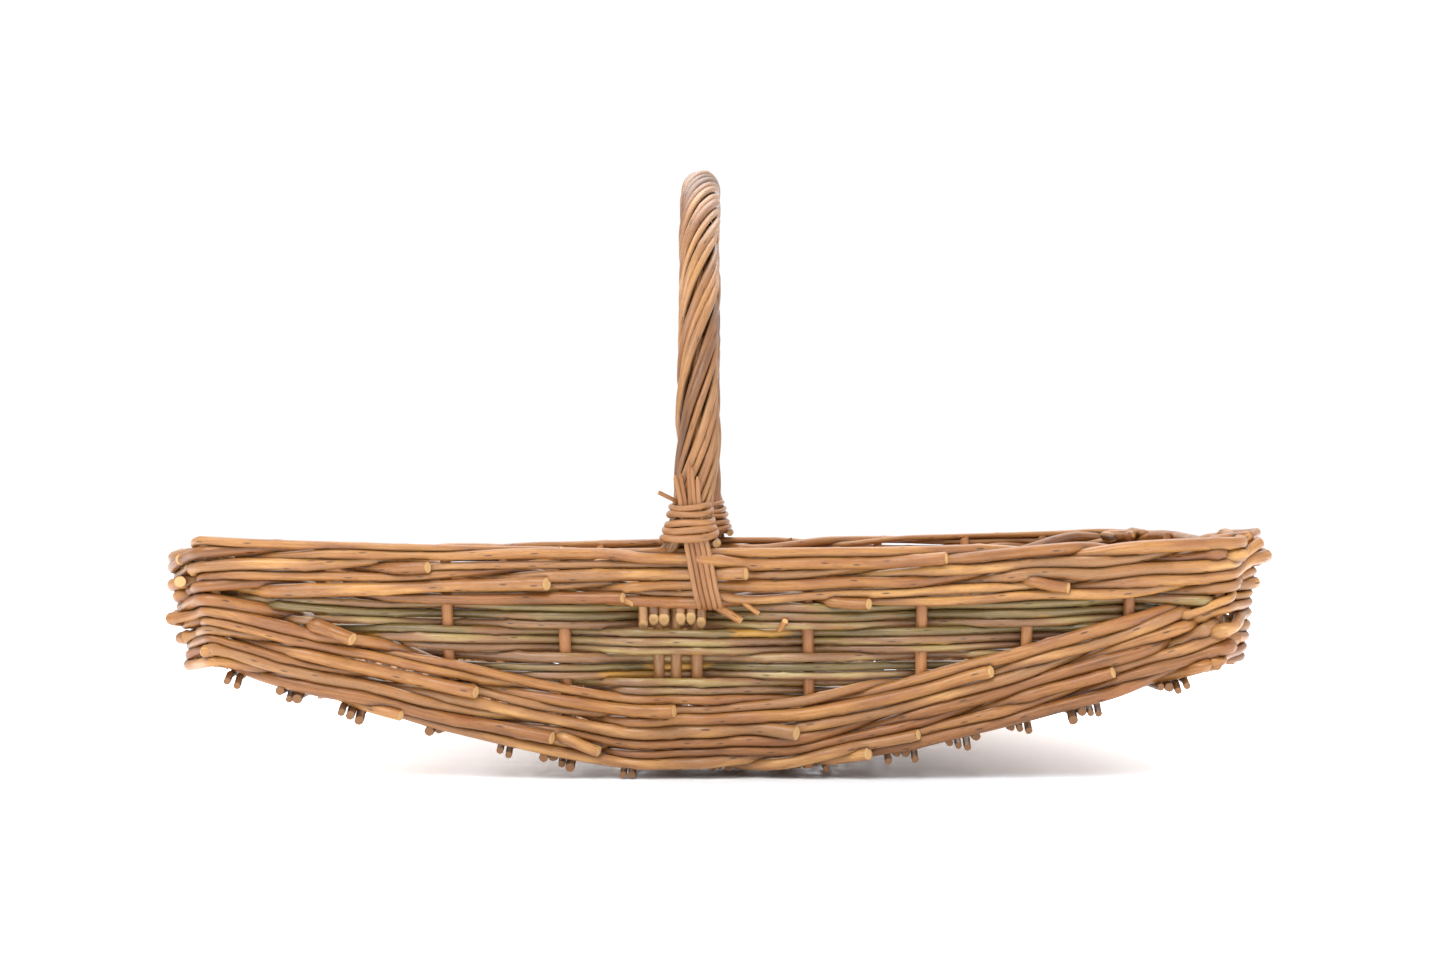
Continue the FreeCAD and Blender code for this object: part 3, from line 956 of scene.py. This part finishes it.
    def lay_slew(self, wall: Wall) -> None:
        """Lays a green panel: groups of thin rods, outside and inside the stakes in turn.

        A row reaches as far each way as it stays clear of the lower band, and tucks in there.
        """
        plan = self.plan
        middle = plan.middle(wall)
        run = plan.offset(self.s, middle)
        foot = next(count for place, radius, count in self.posts
                    if radius == self.foot_radius and plan.wall_at(place) is wall)
        for row in range(self.slew_rows):
            drop = self.upper_height + self.slew_radius + self.slew_pitch * row
            z = self.rim - drop
            clear = z > self.keel + self.lower_lift + self.lower_height + 0.6 * self.slew_radius
            reach = np.abs(run[clear & (np.abs(run) < plan.straight)]).max()
            group = row // self.slew_group
            at_posts = [1.0 if (count - foot + group) % 2 else -1.0 for *_, count in self.posts]
            state = self.from_posts(at_posts)
            lean = self.draw.uniform(-0.3, 0.3) * np.clip(run / reach, -1, 1)
            radius = self.slew_radius * self.draw.uniform(0.95, 1.14) + lean
            edge = smoothstep((np.abs(run) - reach + 4) / 24)
            n = state * (self.stake_radius + radius)
            n = n * (1 - edge) - edge * (self.stake_radius + 3 * radius)
            z = z + self.draw.uniform(-0.5, 0.5) + 0.5 * np.sin(run / 46 + row)
            self.threads.append(Thread(
                "slew_" + wall.value, row, middle - reach - 20, 2 * reach + 40, z, n, radius,
                float(self.draw.beta(1.4, 1.4)), int(self.draw.integers(1 << 30)),
                Cut.SLANTED, Cut.TIP))

    def alive(self, thread: Thread) -> Array:
        """Where along the line a thread is."""
        return (self.s - thread.begin) % self.plan.round <= thread.length

    def settle(self) -> None:
        """Pushes touching rods apart and holds them to the posts.

        At each station two rods are discs at (n, z). Where they overlap, each moves back by half
        of it along the line between their middles. A rod stays its own radius clear of a post.
        The moves are averaged along the line, as a springy rod spreads them.
        """
        z = np.array([t.z for t in self.threads])
        n = np.array([t.n for t in self.threads])
        r = np.array([t.r for t in self.threads])
        here = np.array([self.alive(t) for t in self.threads])
        outside = n > 0
        aim_z, aim_n = z.copy(), n.copy()
        first, second = np.triu_indices(len(self.threads), 1)
        near = np.zeros(len(first), dtype=bool)
        for block in np.array_split(np.arange(len(first)), PAIR_BLOCKS):
            a, b = first[block], second[block]
            gap = np.where(here[a] & here[b], np.abs(z[a] - z[b]), np.inf)
            near[block] = gap.min(axis=1) < PAIR_REACH
        first, second = first[near], second[near]
        both = here[first] & here[second]
        room = np.zeros(len(self.s))
        for place, radius, _ in self.posts:
            gap = self.plan.offset(self.s, place)
            room = np.maximum(room, radius * np.exp(-(gap / (radius + self.post_reach)) ** 2))
        step = self.plan.round / len(self.s)
        for _ in range(self.rounds):
            dz, dn = z[second] - z[first], n[second] - n[first]
            far = np.hypot(dz, dn) + 1e-6
            press = np.clip(self.hug * (r[first] + r[second]) - far, 0.0, None) * both * 0.5
            move_z, move_n = self.pull * (aim_z - z), self.pull * (aim_n - n)
            for move, part in ((move_z, press * dz / far), (move_n, press * dn / far)):
                np.add.at(move, second, part)
                np.add.at(move, first, -part)
            move_z -= np.clip(z + r - self.rim, 0.0, None)
            lowest = self.keel + self.lower_lift - self.bottom_slack
            move_z += np.clip(lowest + r - z, 0.0, None)
            z += eased_round(move_z, step, self.stiff_z)
            n += eased_round(move_n, step, self.stiff_n)
            beside = room > self.beside_post
            reach = np.where(beside, room + self.hug * r, 0.0)
            short = np.where(outside, np.maximum(reach - n, 0), -np.maximum(reach + n, 0))
            n += eased_round(np.where(beside, short, 0.0), step, self.post_ease)
        z, n = (eased_round(table, step, ease) for table, ease in zip((z, n), self.last_ease))
        z = np.minimum(z, self.rim + self.stray - r)
        # Painted shade: how deep each point round each rod lies in a gap between rods.
        depth = self.find_gaps(z, n, r, both, first, second)
        for thread, height, out, crevice in zip(self.threads, z, n, depth):
            thread.z, thread.n, thread.crevice = height, out, crevice

    def find_gaps(self, z: Array, n: Array, r: Array, both: Array, first: Array,
                  second: Array) -> Array:
        """How deep in a gap each point round each rod lies, which the finish paints as shade.

        A point on one disc is some distance from the other disc's edge. Its depth falls off as e
        to the minus that distance over the gap's width.

        Args:
            z: Heights of the rods' middles by station.
            n: How far outwards they are.
            r: Their radii.
            both: Where both rods of a pair are.
            first: The first rod of each pair.
            second: The other one.

        Returns:
            The depth by rod, station and direction.
        """
        depth = np.zeros((len(z), len(self.s), Rod.sides))
        for place, angle in enumerate(np.linspace(0.0, 2 * np.pi, Rod.sides, endpoint=False)):
            for own, other in ((first, second), (second, first)):
                out = n[own] + r[own] * np.cos(angle) - n[other]
                up = z[own] - r[own] * np.sin(angle) - z[other]
                away = np.clip(np.hypot(out, up) - r[other], 0.0, None)
                np.maximum.at(depth[:, :, place], own, np.exp(-away / self.gap_width) * both)
        return depth

    def rod(self, thread: Thread) -> Rod:
        """A settled thread as a rod in space."""
        run = (self.s - thread.begin) % self.plan.round
        order = np.argsort(run)
        order = order[run[order] <= thread.length]
        shift = thread.n - self.plan.lean * (self.rim - thread.z)
        plan = self.ground + self.outward * shift[:, None]
        share = np.clip((thread.z - self.keel) / (self.rim - self.keel), 0.0, 1.0)
        sag = self.sag * (self.sag_foot + (1 - self.sag_foot) * share)
        line = np.column_stack((plan, thread.z + sag))[order]
        knotty = self.green_knots if thread.group.startswith("slew") else Rod.knotty
        depth = thread.crevice[order]
        return Rod(line, thread.r[order], thread.tone, thread.seed, thread.start, thread.end,
                   knotty=knotty, crevice=lambda away, rows: depth[rows])

    def stake(self, place: float, radius: float, number: int) -> Rod:
        """An upright on a post's leaning axis, from the base's edge to just under the rim."""
        at = self.station(place)
        below = self.corner_top if radius == self.corner_radius else self.stake_top
        top = self.rim[at] + min(self.sag[at], 0.0) - below
        z = np.arange(self.keel[at] + self.lower_lift, top, self.stake_step)
        bow = 0.5 * np.sin(z / 19 + number)
        shift = -self.plan.lean * (self.rim[at] - z)
        along = np.array((-self.outward[at][1], self.outward[at][0]))
        plan = self.ground[at] + self.outward[at] * shift[:, None] + along * bow[:, None]
        line = np.column_stack((plan, z))
        draw = np.random.default_rng(STAKE_SEED + number)
        taper = np.linspace(1.04, 0.94, len(z)) * radius * draw.uniform(0.94, 1.0)
        return Rod(line, taper, float(draw.beta(1.5, 1.5)), STAKE_SEED + number, Cut.SQUARE,
                   Cut.SLANTED, (float(self.outward[at][0]), float(self.outward[at][1]), 0.0))

    def build_stakes(self, finish: bpy.types.Material) -> None:
        """Makes the uprights of each wall and each corner."""
        groups: dict[str, list[Rod]] = {}
        for number, (place, radius, _) in enumerate(self.posts):
            if radius == self.foot_radius:
                continue
            wall = self.plan.wall_at(place)
            name = "stakes_" + wall.value
            if radius == self.corner_radius:
                x, y = self.ground[self.station(place)]
                name = f"corner_posts_{'front' if y < 0 else 'back'}_{'left' if x < 0 else 'right'}"
            groups.setdefault(name, []).append(self.stake(place, radius, number))
        for node, rods in groups.items():
            bundle(node.replace("stakes", "uprights").replace("corner_posts", "corner_uprights"),
                   rods, finish, [node])

    def station(self, place: float) -> int:
        """The number of the station nearest to a place."""
        return int(np.argmin(np.abs(self.s - place % self.plan.round)))

    def loose_ends(self, wall: Wall, name: str) -> list[Rod]:
        """Short rod ends that stick out: at the two front corners, and on the front wall.

        Args:
            wall: The wall whose piece is being made.
            name: That piece's band.

        Returns:
            The ends that belong to the piece.
        """
        front, lines = -self.plan.half_width, []
        if (wall, name) == (Wall.LEFT, "upper_band"):
            lines = [(((x - 7, front + 54, z - 1), (x, front + 8, z)), radius)
                     for radius, x, z in self.left_ends]
        if (wall, name) == (Wall.RIGHT, "rim_band"):
            lines = [(((x - 15, front + 4, z - 9), (x, front + 14, z)), radius)
                     for radius, x, z in self.right_ends]
        if (wall, name) == (Wall.FRONT, "upper_band"):
            lines = [(((x, self.face(z) - 6, z), (far_x, self.face(far_z) - 10, far_z)), radius)
                     for (radius, x, z), (_, far_x, far_z) in self.stubs]
        return [short_rod(ends, radius, self.end_tone, END_SEED + number)
                for number, (ends, radius) in enumerate(lines)]

    def face(self, z: float) -> float:
        """Where the front stakes' leaning line is at a height."""
        return -self.plan.half_width + self.plan.lean * (self.plan.rim_middle - z)

    def build(self, finishes: dict[str, bpy.types.Material]) -> None:
        """Weaves, settles and makes the pieces.

        Args:
            finishes: The materials by slot.
        """
        self.build_stakes(finishes["stake_willow"])
        self.lay_wale("lower", self.lower_rows, self.keel + self.lower_lift, self.lower_height)
        for wall in (Wall.FRONT, Wall.BACK):
            self.lay_slew(wall)
        self.lay_wale("upper", self.upper_rows, self.rim - self.upper_height, self.upper_height)
        self.settle()
        for wall in Wall:
            for name, node, chosen in self.bands():
                rods = [self.rod(t) for t in self.threads if chosen(t) and
                        self.plan.wall_at(t.begin + t.length / 2) is wall]
                rods += self.loose_ends(wall, name)
                bundle(f"{name}_{wall.value}", rods, finishes["buff_willow"],
                       [f"{node}_{wall.value}"])
        for wall in (Wall.FRONT, Wall.BACK):
            rods = [self.rod(t) for t in self.threads if t.group == "slew_" + wall.value]
            nodes = [f"slew_{wall.value}_{i}" for i in range(1, 5)]
            bundle("green_panel_" + wall.value, rods, finishes["green_willow"],
                   nodes)

    def bands(self) -> list[tuple[str, str, Callable[[Thread], bool]]]:
        """The bands of a wall as (piece, CAD node, which threads)."""
        edge = self.upper_rows - self.border_rows
        return [
            ("lower_band", "lower_wale", lambda t: t.group == "lower"),
            ("upper_band", "upper_wale", lambda t: t.group == "upper" and t.row < edge),
            ("rim_band", "border", lambda t: t.group == "upper" and t.row >= edge),
        ]


# Base -------------------------------------------------------------------------------------------

@dataclass
class Base:
    """The boat-shaped floor: rods across it, over and under its lengthwise sticks."""

    plan: Plan
    radius: float = 2.2
    pitch: float = 4.75
    end: float = 269.5
    middle: float = 8.6
    wave: float = 6.35
    stick_gap: float = 47.3
    last_stick: float = 142.0
    tucked: float = 157.0
    third: float = 90.0
    peg_reach: float = 260.0
    most_pegs: int = 4
    peg_gap: tuple[float, float] = (9.0, 34.0)
    peg_out: tuple[float, float] = (3.0, 7.0)
    peg_droop: tuple[float, float] = (-0.5, 5.0)
    peg_bend: float = 9.0
    fade: float = 13.0
    fade_drop: float = 2.6
    taper: tuple[float, float] = (1.12, 0.86)
    # The painted shade on a peg where it runs under the wall: how dark it gets.
    under_wall_shade: float = 0.55
    clear: tuple[float, float] = (1.2, 0.1)
    seed: int = 5

    def stations(self) -> Array:
        """Places along X, evenly spaced along the keel."""
        fine = np.arange(0.0, self.end, FINE_STEP)
        slope = np.gradient(self.plan.keel(fine), fine)
        along = np.cumsum(np.hypot(1.0, slope)) * FINE_STEP
        half = np.interp(np.arange(self.pitch / 2, along[-1], self.pitch), along, fine)
        return np.concatenate((-half[::-1], half))

    def __post_init__(self) -> None:
        """Shares out the pegs: one to four rods that show, then a gap, but none in the middle."""
        draw = np.random.default_rng(self.seed + 1)
        self.pegs: list[tuple[float, float]] = []
        x = -self.peg_reach
        while x < self.peg_reach:
            far = x + draw.integers(1, self.most_pegs, endpoint=True) * self.pitch
            if min(abs(x), abs(far)) > self.plan.keel_flat:
                self.pegs.append((x, far))
            x = far + draw.uniform(*self.peg_gap)

    def rod(self, number: int, x: float, draw: np.random.Generator) -> Rod:
        """One rod across the base.

        Its height over the keel is the middle plus a cosine that peaks at the sticks. Every rod
        goes over the last stick and fades out there, but a peg turns down and out under the wall.

        Args:
            number: The rod's number; odd ones go over the middle stick, even ones under it.
            x: Where it crosses the keel.
            draw: The base's random draws.

        Returns:
            The rod.
        """
        peg = any(start <= x < end for start, end in self.pegs)
        keel = float(self.plan.keel(np.array([x]))[0])
        wall = self.plan.half_width - self.plan.lean * (self.plan.rim_middle - keel)
        far = wall + draw.uniform(*self.peg_out) if peg else self.tucked + draw.uniform(-2, 1)
        y = np.arange(-far, far, 2.5)
        side = -1.0 if number % 2 else 1.0
        cosine = side * np.cos(np.pi * y / self.stick_gap)
        if not peg:
            outer = np.abs(y) > self.last_stick - self.stick_gap / 2
            cosine = np.where(outer, np.abs(cosine), cosine)
        past = smoothstep((np.abs(y) - self.last_stick) / self.fade)
        offset = self.wave * cosine * (1 - past)
        offset -= past * (self.wave - draw.uniform(0, 0.9) if peg else self.fade_drop)
        offset += 0.35 * np.sin(y / 31 + draw.uniform(0, 6)) * (1 - past)
        rise = self.plan.keel(np.array([x - FINE_STEP, x + FINE_STEP]))
        slope = float(rise[1] - rise[0]) / (2 * FINE_STEP)
        size = np.hypot(1.0, slope)
        height = self.middle + offset
        radius = np.linspace(*self.taper, len(y)) * self.radius
        if draw.uniform() < 0.5:
            radius = radius[::-1]
        low = keel + height / size
        if peg:
            turned = smoothstep((np.abs(y) - far + self.peg_bend) / self.peg_bend)
            low -= draw.uniform(*self.peg_droop) * turned
        low = np.maximum(low, self.clear[0] * radius + self.clear[1])
        line = np.stack((x - slope / size * height, y, low), axis=1)
        # Painted shade: a peg darkens all round where it runs in under the wall.
        peg_wall_shade = self.under_wall_shade * past if peg else np.zeros(len(y))

        def crevice(away: Array, rows: Array) -> Array:
            """Painted shade: deepest at the rod's sides, and all round it under the wall."""
            beside = smoothstep((0.62 - np.abs(away[..., 2])) / 0.6)
            return np.maximum(beside, peg_wall_shade[rows][:, None])
        return Rod(line, radius, float(draw.beta(1.8, 1.8)), 3000 + number, Cut.SQUARE,
                   Cut.SQUARE, (0.0, 0.0, 1.0), 8, crevice=crevice)

    def build(self, finishes: dict[str, bpy.types.Material]) -> None:
        """Makes the floor's three pieces.

        Args:
            finishes: The materials by slot.
        """
        draw = np.random.default_rng(self.seed)
        rods = [(x, self.rod(i, float(x), draw)) for i, x in enumerate(self.stations())]
        parts = (("left", lambda x: x < -self.third), ("middle", lambda x: abs(x) <= self.third),
                 ("right", lambda x: x > self.third))
        for name, chosen in parts:
            bundle("floor_rods_" + name, [rod for x, rod in rods if chosen(x)],
                   finishes["base_willow"], ["base_weft_" + name])


# Handle -----------------------------------------------------------------------------------------

TIE_SEED, TIP_SEED, LAP_SEED, TWIG_SEED = 100, 700, 900, 950


@dataclass
class Handle:
    """The roped bow: strands over the arch, their tails, ties and lapped feet."""

    plan: Plan
    bow_x: float
    rise: float = 29.0
    arch: float = 178.0
    rope: float = 8.9
    strands: int = 12
    strand_butt: float = 2.7
    strand_tip: float = 1.75
    pitch: float = 165.0
    tails: tuple[float, ...] = (-38.0, -32.6, -27.2, -18.5, -13.1, -7.7)
    strand_step: float = 3.0
    leave: float = 17.0
    foot_lean: tuple[float, float] = (-4.5, 3.6)
    lean_rise: float = 60.0
    tail_drop: float = 38.5
    tail_outset: float = 2.9
    gather: float = 26.0
    stop: float = 5.0
    ties: int = 5
    tie_gap: float = 2.75
    tie_rise: float = 38.0
    tie_stand: float = 13.4
    tie_taper: tuple[float, float] = (1.5, 1.25)
    lap_radius: float = 1.95
    lap_turns: int = 5
    lap_pitch: float = 4.1
    lap_wide: tuple[float, float] = (14.2, 9.6)
    lap_depth: float = 15.8
    lap_steps: int = 44
    lap_square: float = 0.8
    lap_lift: float = 2.6
    lap_tone: float = 0.62
    twig_radius: float = 1.1
    twig_tone: float = 0.3
    seed: int = 17

    @property
    def length(self) -> float:
        """Length of the bow from rim to rim."""
        return 2 * self.rise + np.pi * self.arch

    def bow(self, along: Array) -> tuple[Array, Array]:
        """Centre line and outward normal: two straight legs and a half circle between them.

        Args:
            along: Distances from the front rim over the bow.

        Returns:
            The points and the normals there.
        """
        angle = np.clip((along - self.rise) / self.arch, 0.0, np.pi)
        normal = np.stack((np.zeros_like(angle), -np.cos(angle), np.sin(angle)), axis=1)
        below = np.minimum(along - self.rise, 0) + np.minimum(self.length - self.rise - along, 0)
        centre = normal * self.arch
        centre[:, 0] += self.bow_x
        centre[:, 2] += self.plan.rim_middle + self.rise + below
        return centre, normal

    def strand(self, number: int) -> Rod:
        """A strand: a helix round the bow, eased into its own tail in the wall.

        Its angle is its count plus the length over the pitch, in turns. Near its foot the helix
        blends by a smooth S with a straight line down the leaning wall.

        Args:
            number: The strand's number; even ones start at the front foot, odd ones at the back.

        Returns:
            The strand.
        """
        draw = np.random.default_rng(self.seed + number)
        side = -1 if number % 2 == 0 else 1
        travelled = np.arange(-self.tail_drop + draw.uniform(-3, 3), self.length - self.stop,
                              self.strand_step)
        along = travelled if side < 0 else self.length - travelled
        wander = 0.1 * np.sin(travelled / 71 + draw.uniform(0, 6))
        angle = 2 * np.pi * (number / self.strands + along / self.pitch) + wander
        centre, normal = self.bow(along)
        for lean, up in zip(self.foot_lean, (along, self.length - along)):
            centre[:, 0] += lean * (1 - smoothstep(up / self.lean_rise))
        out = self.rope + draw.uniform(-0.5, 0.3) + 0.5 * np.sin(travelled / 39 + draw.uniform(0, 6))
        helix = centre + normal * (out * np.cos(angle))[:, None]
        helix[:, 0] += out * np.sin(angle)
        same = sorted(range(number % 2, self.strands, 2), key=self.foot_order)
        tail = np.empty_like(helix)
        tail[:, 0] = self.tails[same.index(number)]
        fall = np.minimum(travelled, 0)
        tail[:, 1] = side * (self.plan.half_width + self.tail_outset + self.plan.lean * fall)
        tail[:, 2] = self.plan.rim_middle + travelled
        share = smoothstep((travelled + self.leave) / self.gather)[:, None]
        line = tail * (1 - share) + helix * share
        run = np.linspace(0, 1, len(line))
        radius = self.strand_butt + (self.strand_tip - self.strand_butt) * run
        radius = radius * draw.uniform(0.92, 1.06)
        outward = unit(helix - centre)

        def crevice(away: Array, rows: Array) -> Array:
            """Painted shade: deepest where the strand faces the bow's core."""
            facing = np.sum(away * outward[rows][:, None], axis=-1)
            return smoothstep((0.55 - facing) / 0.75) * smoothstep((travelled[rows] - 4) / 20)[:, None]
        return Rod(line, radius, float(draw.beta(1.5, 1.5)), self.seed * 31 + number,
                   Cut.LONG, Cut.TIP, (float(side), 0.0, 0.0), crevice=crevice)

    def foot_order(self, number: int) -> float:
        """Where a strand stands across the bow as it leaves its foot."""
        along = self.gather if number % 2 == 0 else self.length - self.gather
        return float(np.sin(2 * np.pi * (number / self.strands + along / self.pitch)))

    def tie_rods(self, side: int) -> list[Rod]:
        """Thin tips that cross the border slantwise and run up the bow.

        Args:
            side: -1 at the front foot, 1 at the back.

        Returns:
            The tips, side by side.
        """
        plan, rods = self.plan, []
        draw = np.random.default_rng(self.seed + TIE_SEED + side)
        face = plan.half_width + self.tie_stand
        foot = self.foot(side)
        for number in range(self.ties):
            across = (number - (self.ties - 1) / 2) * self.tie_gap
            rise = self.tie_rise + draw.uniform(-2, 7)
            slip = draw.uniform(-1.2, 1.2)
            points = [
                (-3.0 + across, side * (plan.half_width - 6), 90.5),
                (-3.0 + across, side * (face - 5.0), 91.0),
                (-5.0 + across, side * (face - 3.0), 98.0),
                (foot + 4.5 + across, side * (face - 0.6), 121.0),
                (foot + 1.5 + across * 0.85, side * (face - 0.6), 134.0),
                (foot + 0.5 + across * 0.8, side * (face - 1.0), 144.0),
                (foot - 1.5 + across * 1.25 + slip, side * (face - 1.2), plan.rim_middle + rise),
            ]
            line = supple_line(points, 2.0, 3.5)
            rods.append(Rod(line, np.linspace(*self.tie_taper, len(line)), float(draw.beta(2, 2)),
                            TIP_SEED + number + side, Cut.SQUARE, Cut.TIP, (1.0, 0.0, 0.0), 10))
        return rods

    def lap_rod(self, side: int) -> Rod:
        """A thin rod wound round the foot: a flattened ring that draws in as it rises.

        The ring is a superellipse: a cosine and a sine, each raised to lap_square.

        Args:
            side: -1 at the front foot, 1 at the back.

        Returns:
            The rod.
        """
        turn = np.linspace(0, 2 * np.pi * self.lap_turns, self.lap_turns * self.lap_steps)
        share = turn / turn[-1]
        wide = self.lap_wide[0] + (self.lap_wide[1] - self.lap_wide[0]) * share
        middle = self.bow_x + self.foot_lean[0 if side < 0 else 1] * (1 - 0.15 * share)
        x, y = (np.sign(wave) * np.abs(wave) ** self.lap_square
                for wave in (np.cos(turn), np.sin(turn)))
        uneven = 0.5 * np.sin(turn * 0.37 + side) + 0.7 * np.sin(turn) + 0.5 * np.sin(2.3 * turn)
        line = np.stack((middle + wide * x, side * self.plan.half_width + self.lap_depth * y,
                         self.plan.rim_middle + self.lap_lift + self.lap_pitch * turn / (2 * np.pi)
                         + uneven), axis=1)
        radius = np.linspace(self.lap_radius * 1.15, self.lap_radius * 0.8, len(line))
        return Rod(line, radius, self.lap_tone, LAP_SEED + side, Cut.SLANTED, Cut.TIP)

    def twig(self) -> Rod:
        """A cut twig that sticks out to the left over the front foot's lapping."""
        foot, front, rim = self.foot(-1), -self.plan.half_width, self.plan.rim_middle
        line = supple_line(((foot - 6, front - 8, rim + 24), (foot - 16, front - 12, rim + 29)),
                           1.2, 1.0)
        return Rod(line, np.full(len(line), self.twig_radius), self.twig_tone, TWIG_SEED)

    def foot(self, side: int) -> float:
        """The middle of a foot, which leans to the side."""
        return self.bow_x + self.foot_lean[0 if side < 0 else 1]

    def build(self, finishes: dict[str, bpy.types.Material]) -> None:
        """Makes the handle's pieces.

        Args:
            finishes: The materials by slot.
        """
        for wall, side in ((Wall.FRONT, -1), (Wall.BACK, 1)):
            own = range(0 if side < 0 else 1, self.strands, 2)
            twigs = [self.twig()] if side < 0 else []
            for name, node, rods, slot in (
                    ("roping_", "rope_strands_", [self.strand(i) for i in own], "handle_willow"),
                    ("tie_tips_", "cross_ties_", self.tie_rods(side) + twigs, "tie_willow"),
                    ("lapping_", "foot_lapping_", [self.lap_rod(side)], "tie_willow")):
                bundle(name + wall.value, rods, finishes[slot], [node + wall.value])


# Studio -----------------------------------------------------------------------------------------

@dataclass(frozen=True)
class Lamp:
    """A soft square lamp: where it hangs, its side and its power."""

    name: str
    place: tuple[float, float, float]
    size: float
    power: float


@dataclass(frozen=True)
class Studio:
    """A pale floor, soft lights and the camera, in metres."""

    lamps: tuple[Lamp, ...] = (
        Lamp("key", (-1.0, -1.7, 2.3), 1.7, 53.0),
        Lamp("fill", (1.9, -1.9, 1.2), 2.0, 14.0),
        Lamp("top", (0.1, 1.3, 2.6), 2.6, 60.0))
    aim: tuple[float, float, float] = (0.0, 0.0, 0.12)
    paper: tuple[float, float, float, float] = (0.88, 0.92, 0.96, 1.0)

    camera: tuple[float, float, float] = (0.0034, -1.5, 0.148)
    lens: float = 63.1
    shift: float = 0.0114
    floor_half: float = 4.0
    sky: float = 1.02
    # Painted light: the floor glows this much, but for a dim pool set by the next two, a painted
    # shadow under the basket.
    painted_floor_glow: float = 0.8
    shadow_pool_shift: tuple[float, float, float] = (-0.2, 0.4, 0.0)
    shadow_pool_scale: tuple[float, float, float] = (3.7, 2.4, 0.0)

    def floor(self) -> None:
        """A flat pale floor that glows as painted light, but for a dim pool under the basket and
        behind it, a painted shadow.
        """
        mesh = bpy.data.meshes.new("floor")
        half = self.floor_half
        mesh.from_pydata([(-half, -half, 0), (half, -half, 0), (half, half, 0), (-half, half, 0)],
                         [], [(0, 1, 2, 3)])
        material = bpy.data.materials.new("floor_paper")
        material.use_nodes = True
        shader = material.node_tree.nodes["Principled BSDF"]
        shader.inputs["Base Color"].default_value = self.paper
        shader.inputs["Roughness"].default_value = 0.9
        shader.inputs["Emission Strength"].default_value = self.painted_floor_glow
        bench = Bench(material.node_tree)
        place = bench.node("ShaderNodeTexCoord", {}, {}, "Object")
        centred = bench.node("ShaderNodeMapping", {}, {
            "Vector": place, "Location": self.shadow_pool_shift, "Scale": self.shadow_pool_scale})
        away = bench.node("ShaderNodeVectorMath", {"operation": "LENGTH"}, {0: centred}, "Value")
        # Painted shadow: the glow fades out in the pool under the basket.
        light = bench.blend(bench.between(away, 0.2, 1.15), (0.0, 0.0, 0.0, 1.0),
                            (1.0, 1.0, 1.0, 1.0))
        bench.tree.links.new(light.socket, shader.inputs["Emission Color"])
        mesh.materials.append(material)
        floor = bpy.data.objects.new("floor", mesh)
        bpy.context.scene.collection.objects.link(floor)

    def hang(self, lamp: Lamp) -> None:
        """Hangs a lamp and turns it to the basket."""
        light = bpy.data.lights.new(lamp.name, "AREA")
        light.size = lamp.size
        light.energy = lamp.power
        hung = bpy.data.objects.new(lamp.name, light)
        bpy.context.scene.collection.objects.link(hung)
        hung.location = lamp.place
        aim = np.array(self.aim) - np.array(lamp.place)
        turn = np.arctan2(aim[1], aim[0])
        tilt = np.arctan2(np.hypot(aim[0], aim[1]), -aim[2])
        hung.rotation_euler = (float(tilt), 0.0, float(turn - np.pi / 2))

    def build(self) -> None:
        """Sets up the floor, the lights, the sky and the camera."""
        self.floor()
        for lamp in self.lamps:
            self.hang(lamp)
        world = bpy.data.worlds.new("studio")
        world.use_nodes = True
        world.node_tree.nodes["Background"].inputs["Color"].default_value = (1, 1, 1, 1)
        world.node_tree.nodes["Background"].inputs["Strength"].default_value = self.sky
        scene = bpy.context.scene
        scene.world = world
        scene.view_settings.view_transform = "Standard"
        data = bpy.data.cameras.new("camera")
        data.lens = self.lens
        data.sensor_width = 36.0
        data.shift_y = self.shift
        data.clip_start = 0.05
        camera = bpy.data.objects.new("camera", data)
        scene.collection.objects.link(camera)
        camera.location = self.camera
        camera.rotation_euler = (np.pi / 2, 0.0, 0.0)
        scene.camera = camera


def dress_frame(frame: dict[str, Any], finishes: dict[str, bpy.types.Material]) -> None:
    """Gives every CAD node that stays in view its finish.

    Args:
        frame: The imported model.
        finishes: The materials by slot.
    """
    for prefix, slot in (("base_stick_", "base_willow"), ("bow_rod_", "handle_willow")):
        plain = cad_grain(finishes[slot])
        for name, node in frame["nodes"].items():
            if name.startswith(prefix):
                for place in node.material_slots:
                    place.material = plain


def main() -> None:
    """Builds the basket's looks and the studio, in order."""
    logging.basicConfig(level=logging.INFO, format="%(message)s")
    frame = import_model()
    finishes = {finish.slot: finish.material() for finish in FINISHES}
    dress_frame(frame, finishes)
    walls = Walls(Plan.from_frame(Walls.stake_radius))
    walls.build(finishes)
    Base(walls.plan).build(finishes)
    low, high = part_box("foot_lapping_front")
    bow_x = (low[0] + high[0]) / 2 / MM + LAP_OFFSET
    Handle(walls.plan, bow_x).build(finishes)
    Studio().build()


if __name__ == "__main__":
    main()
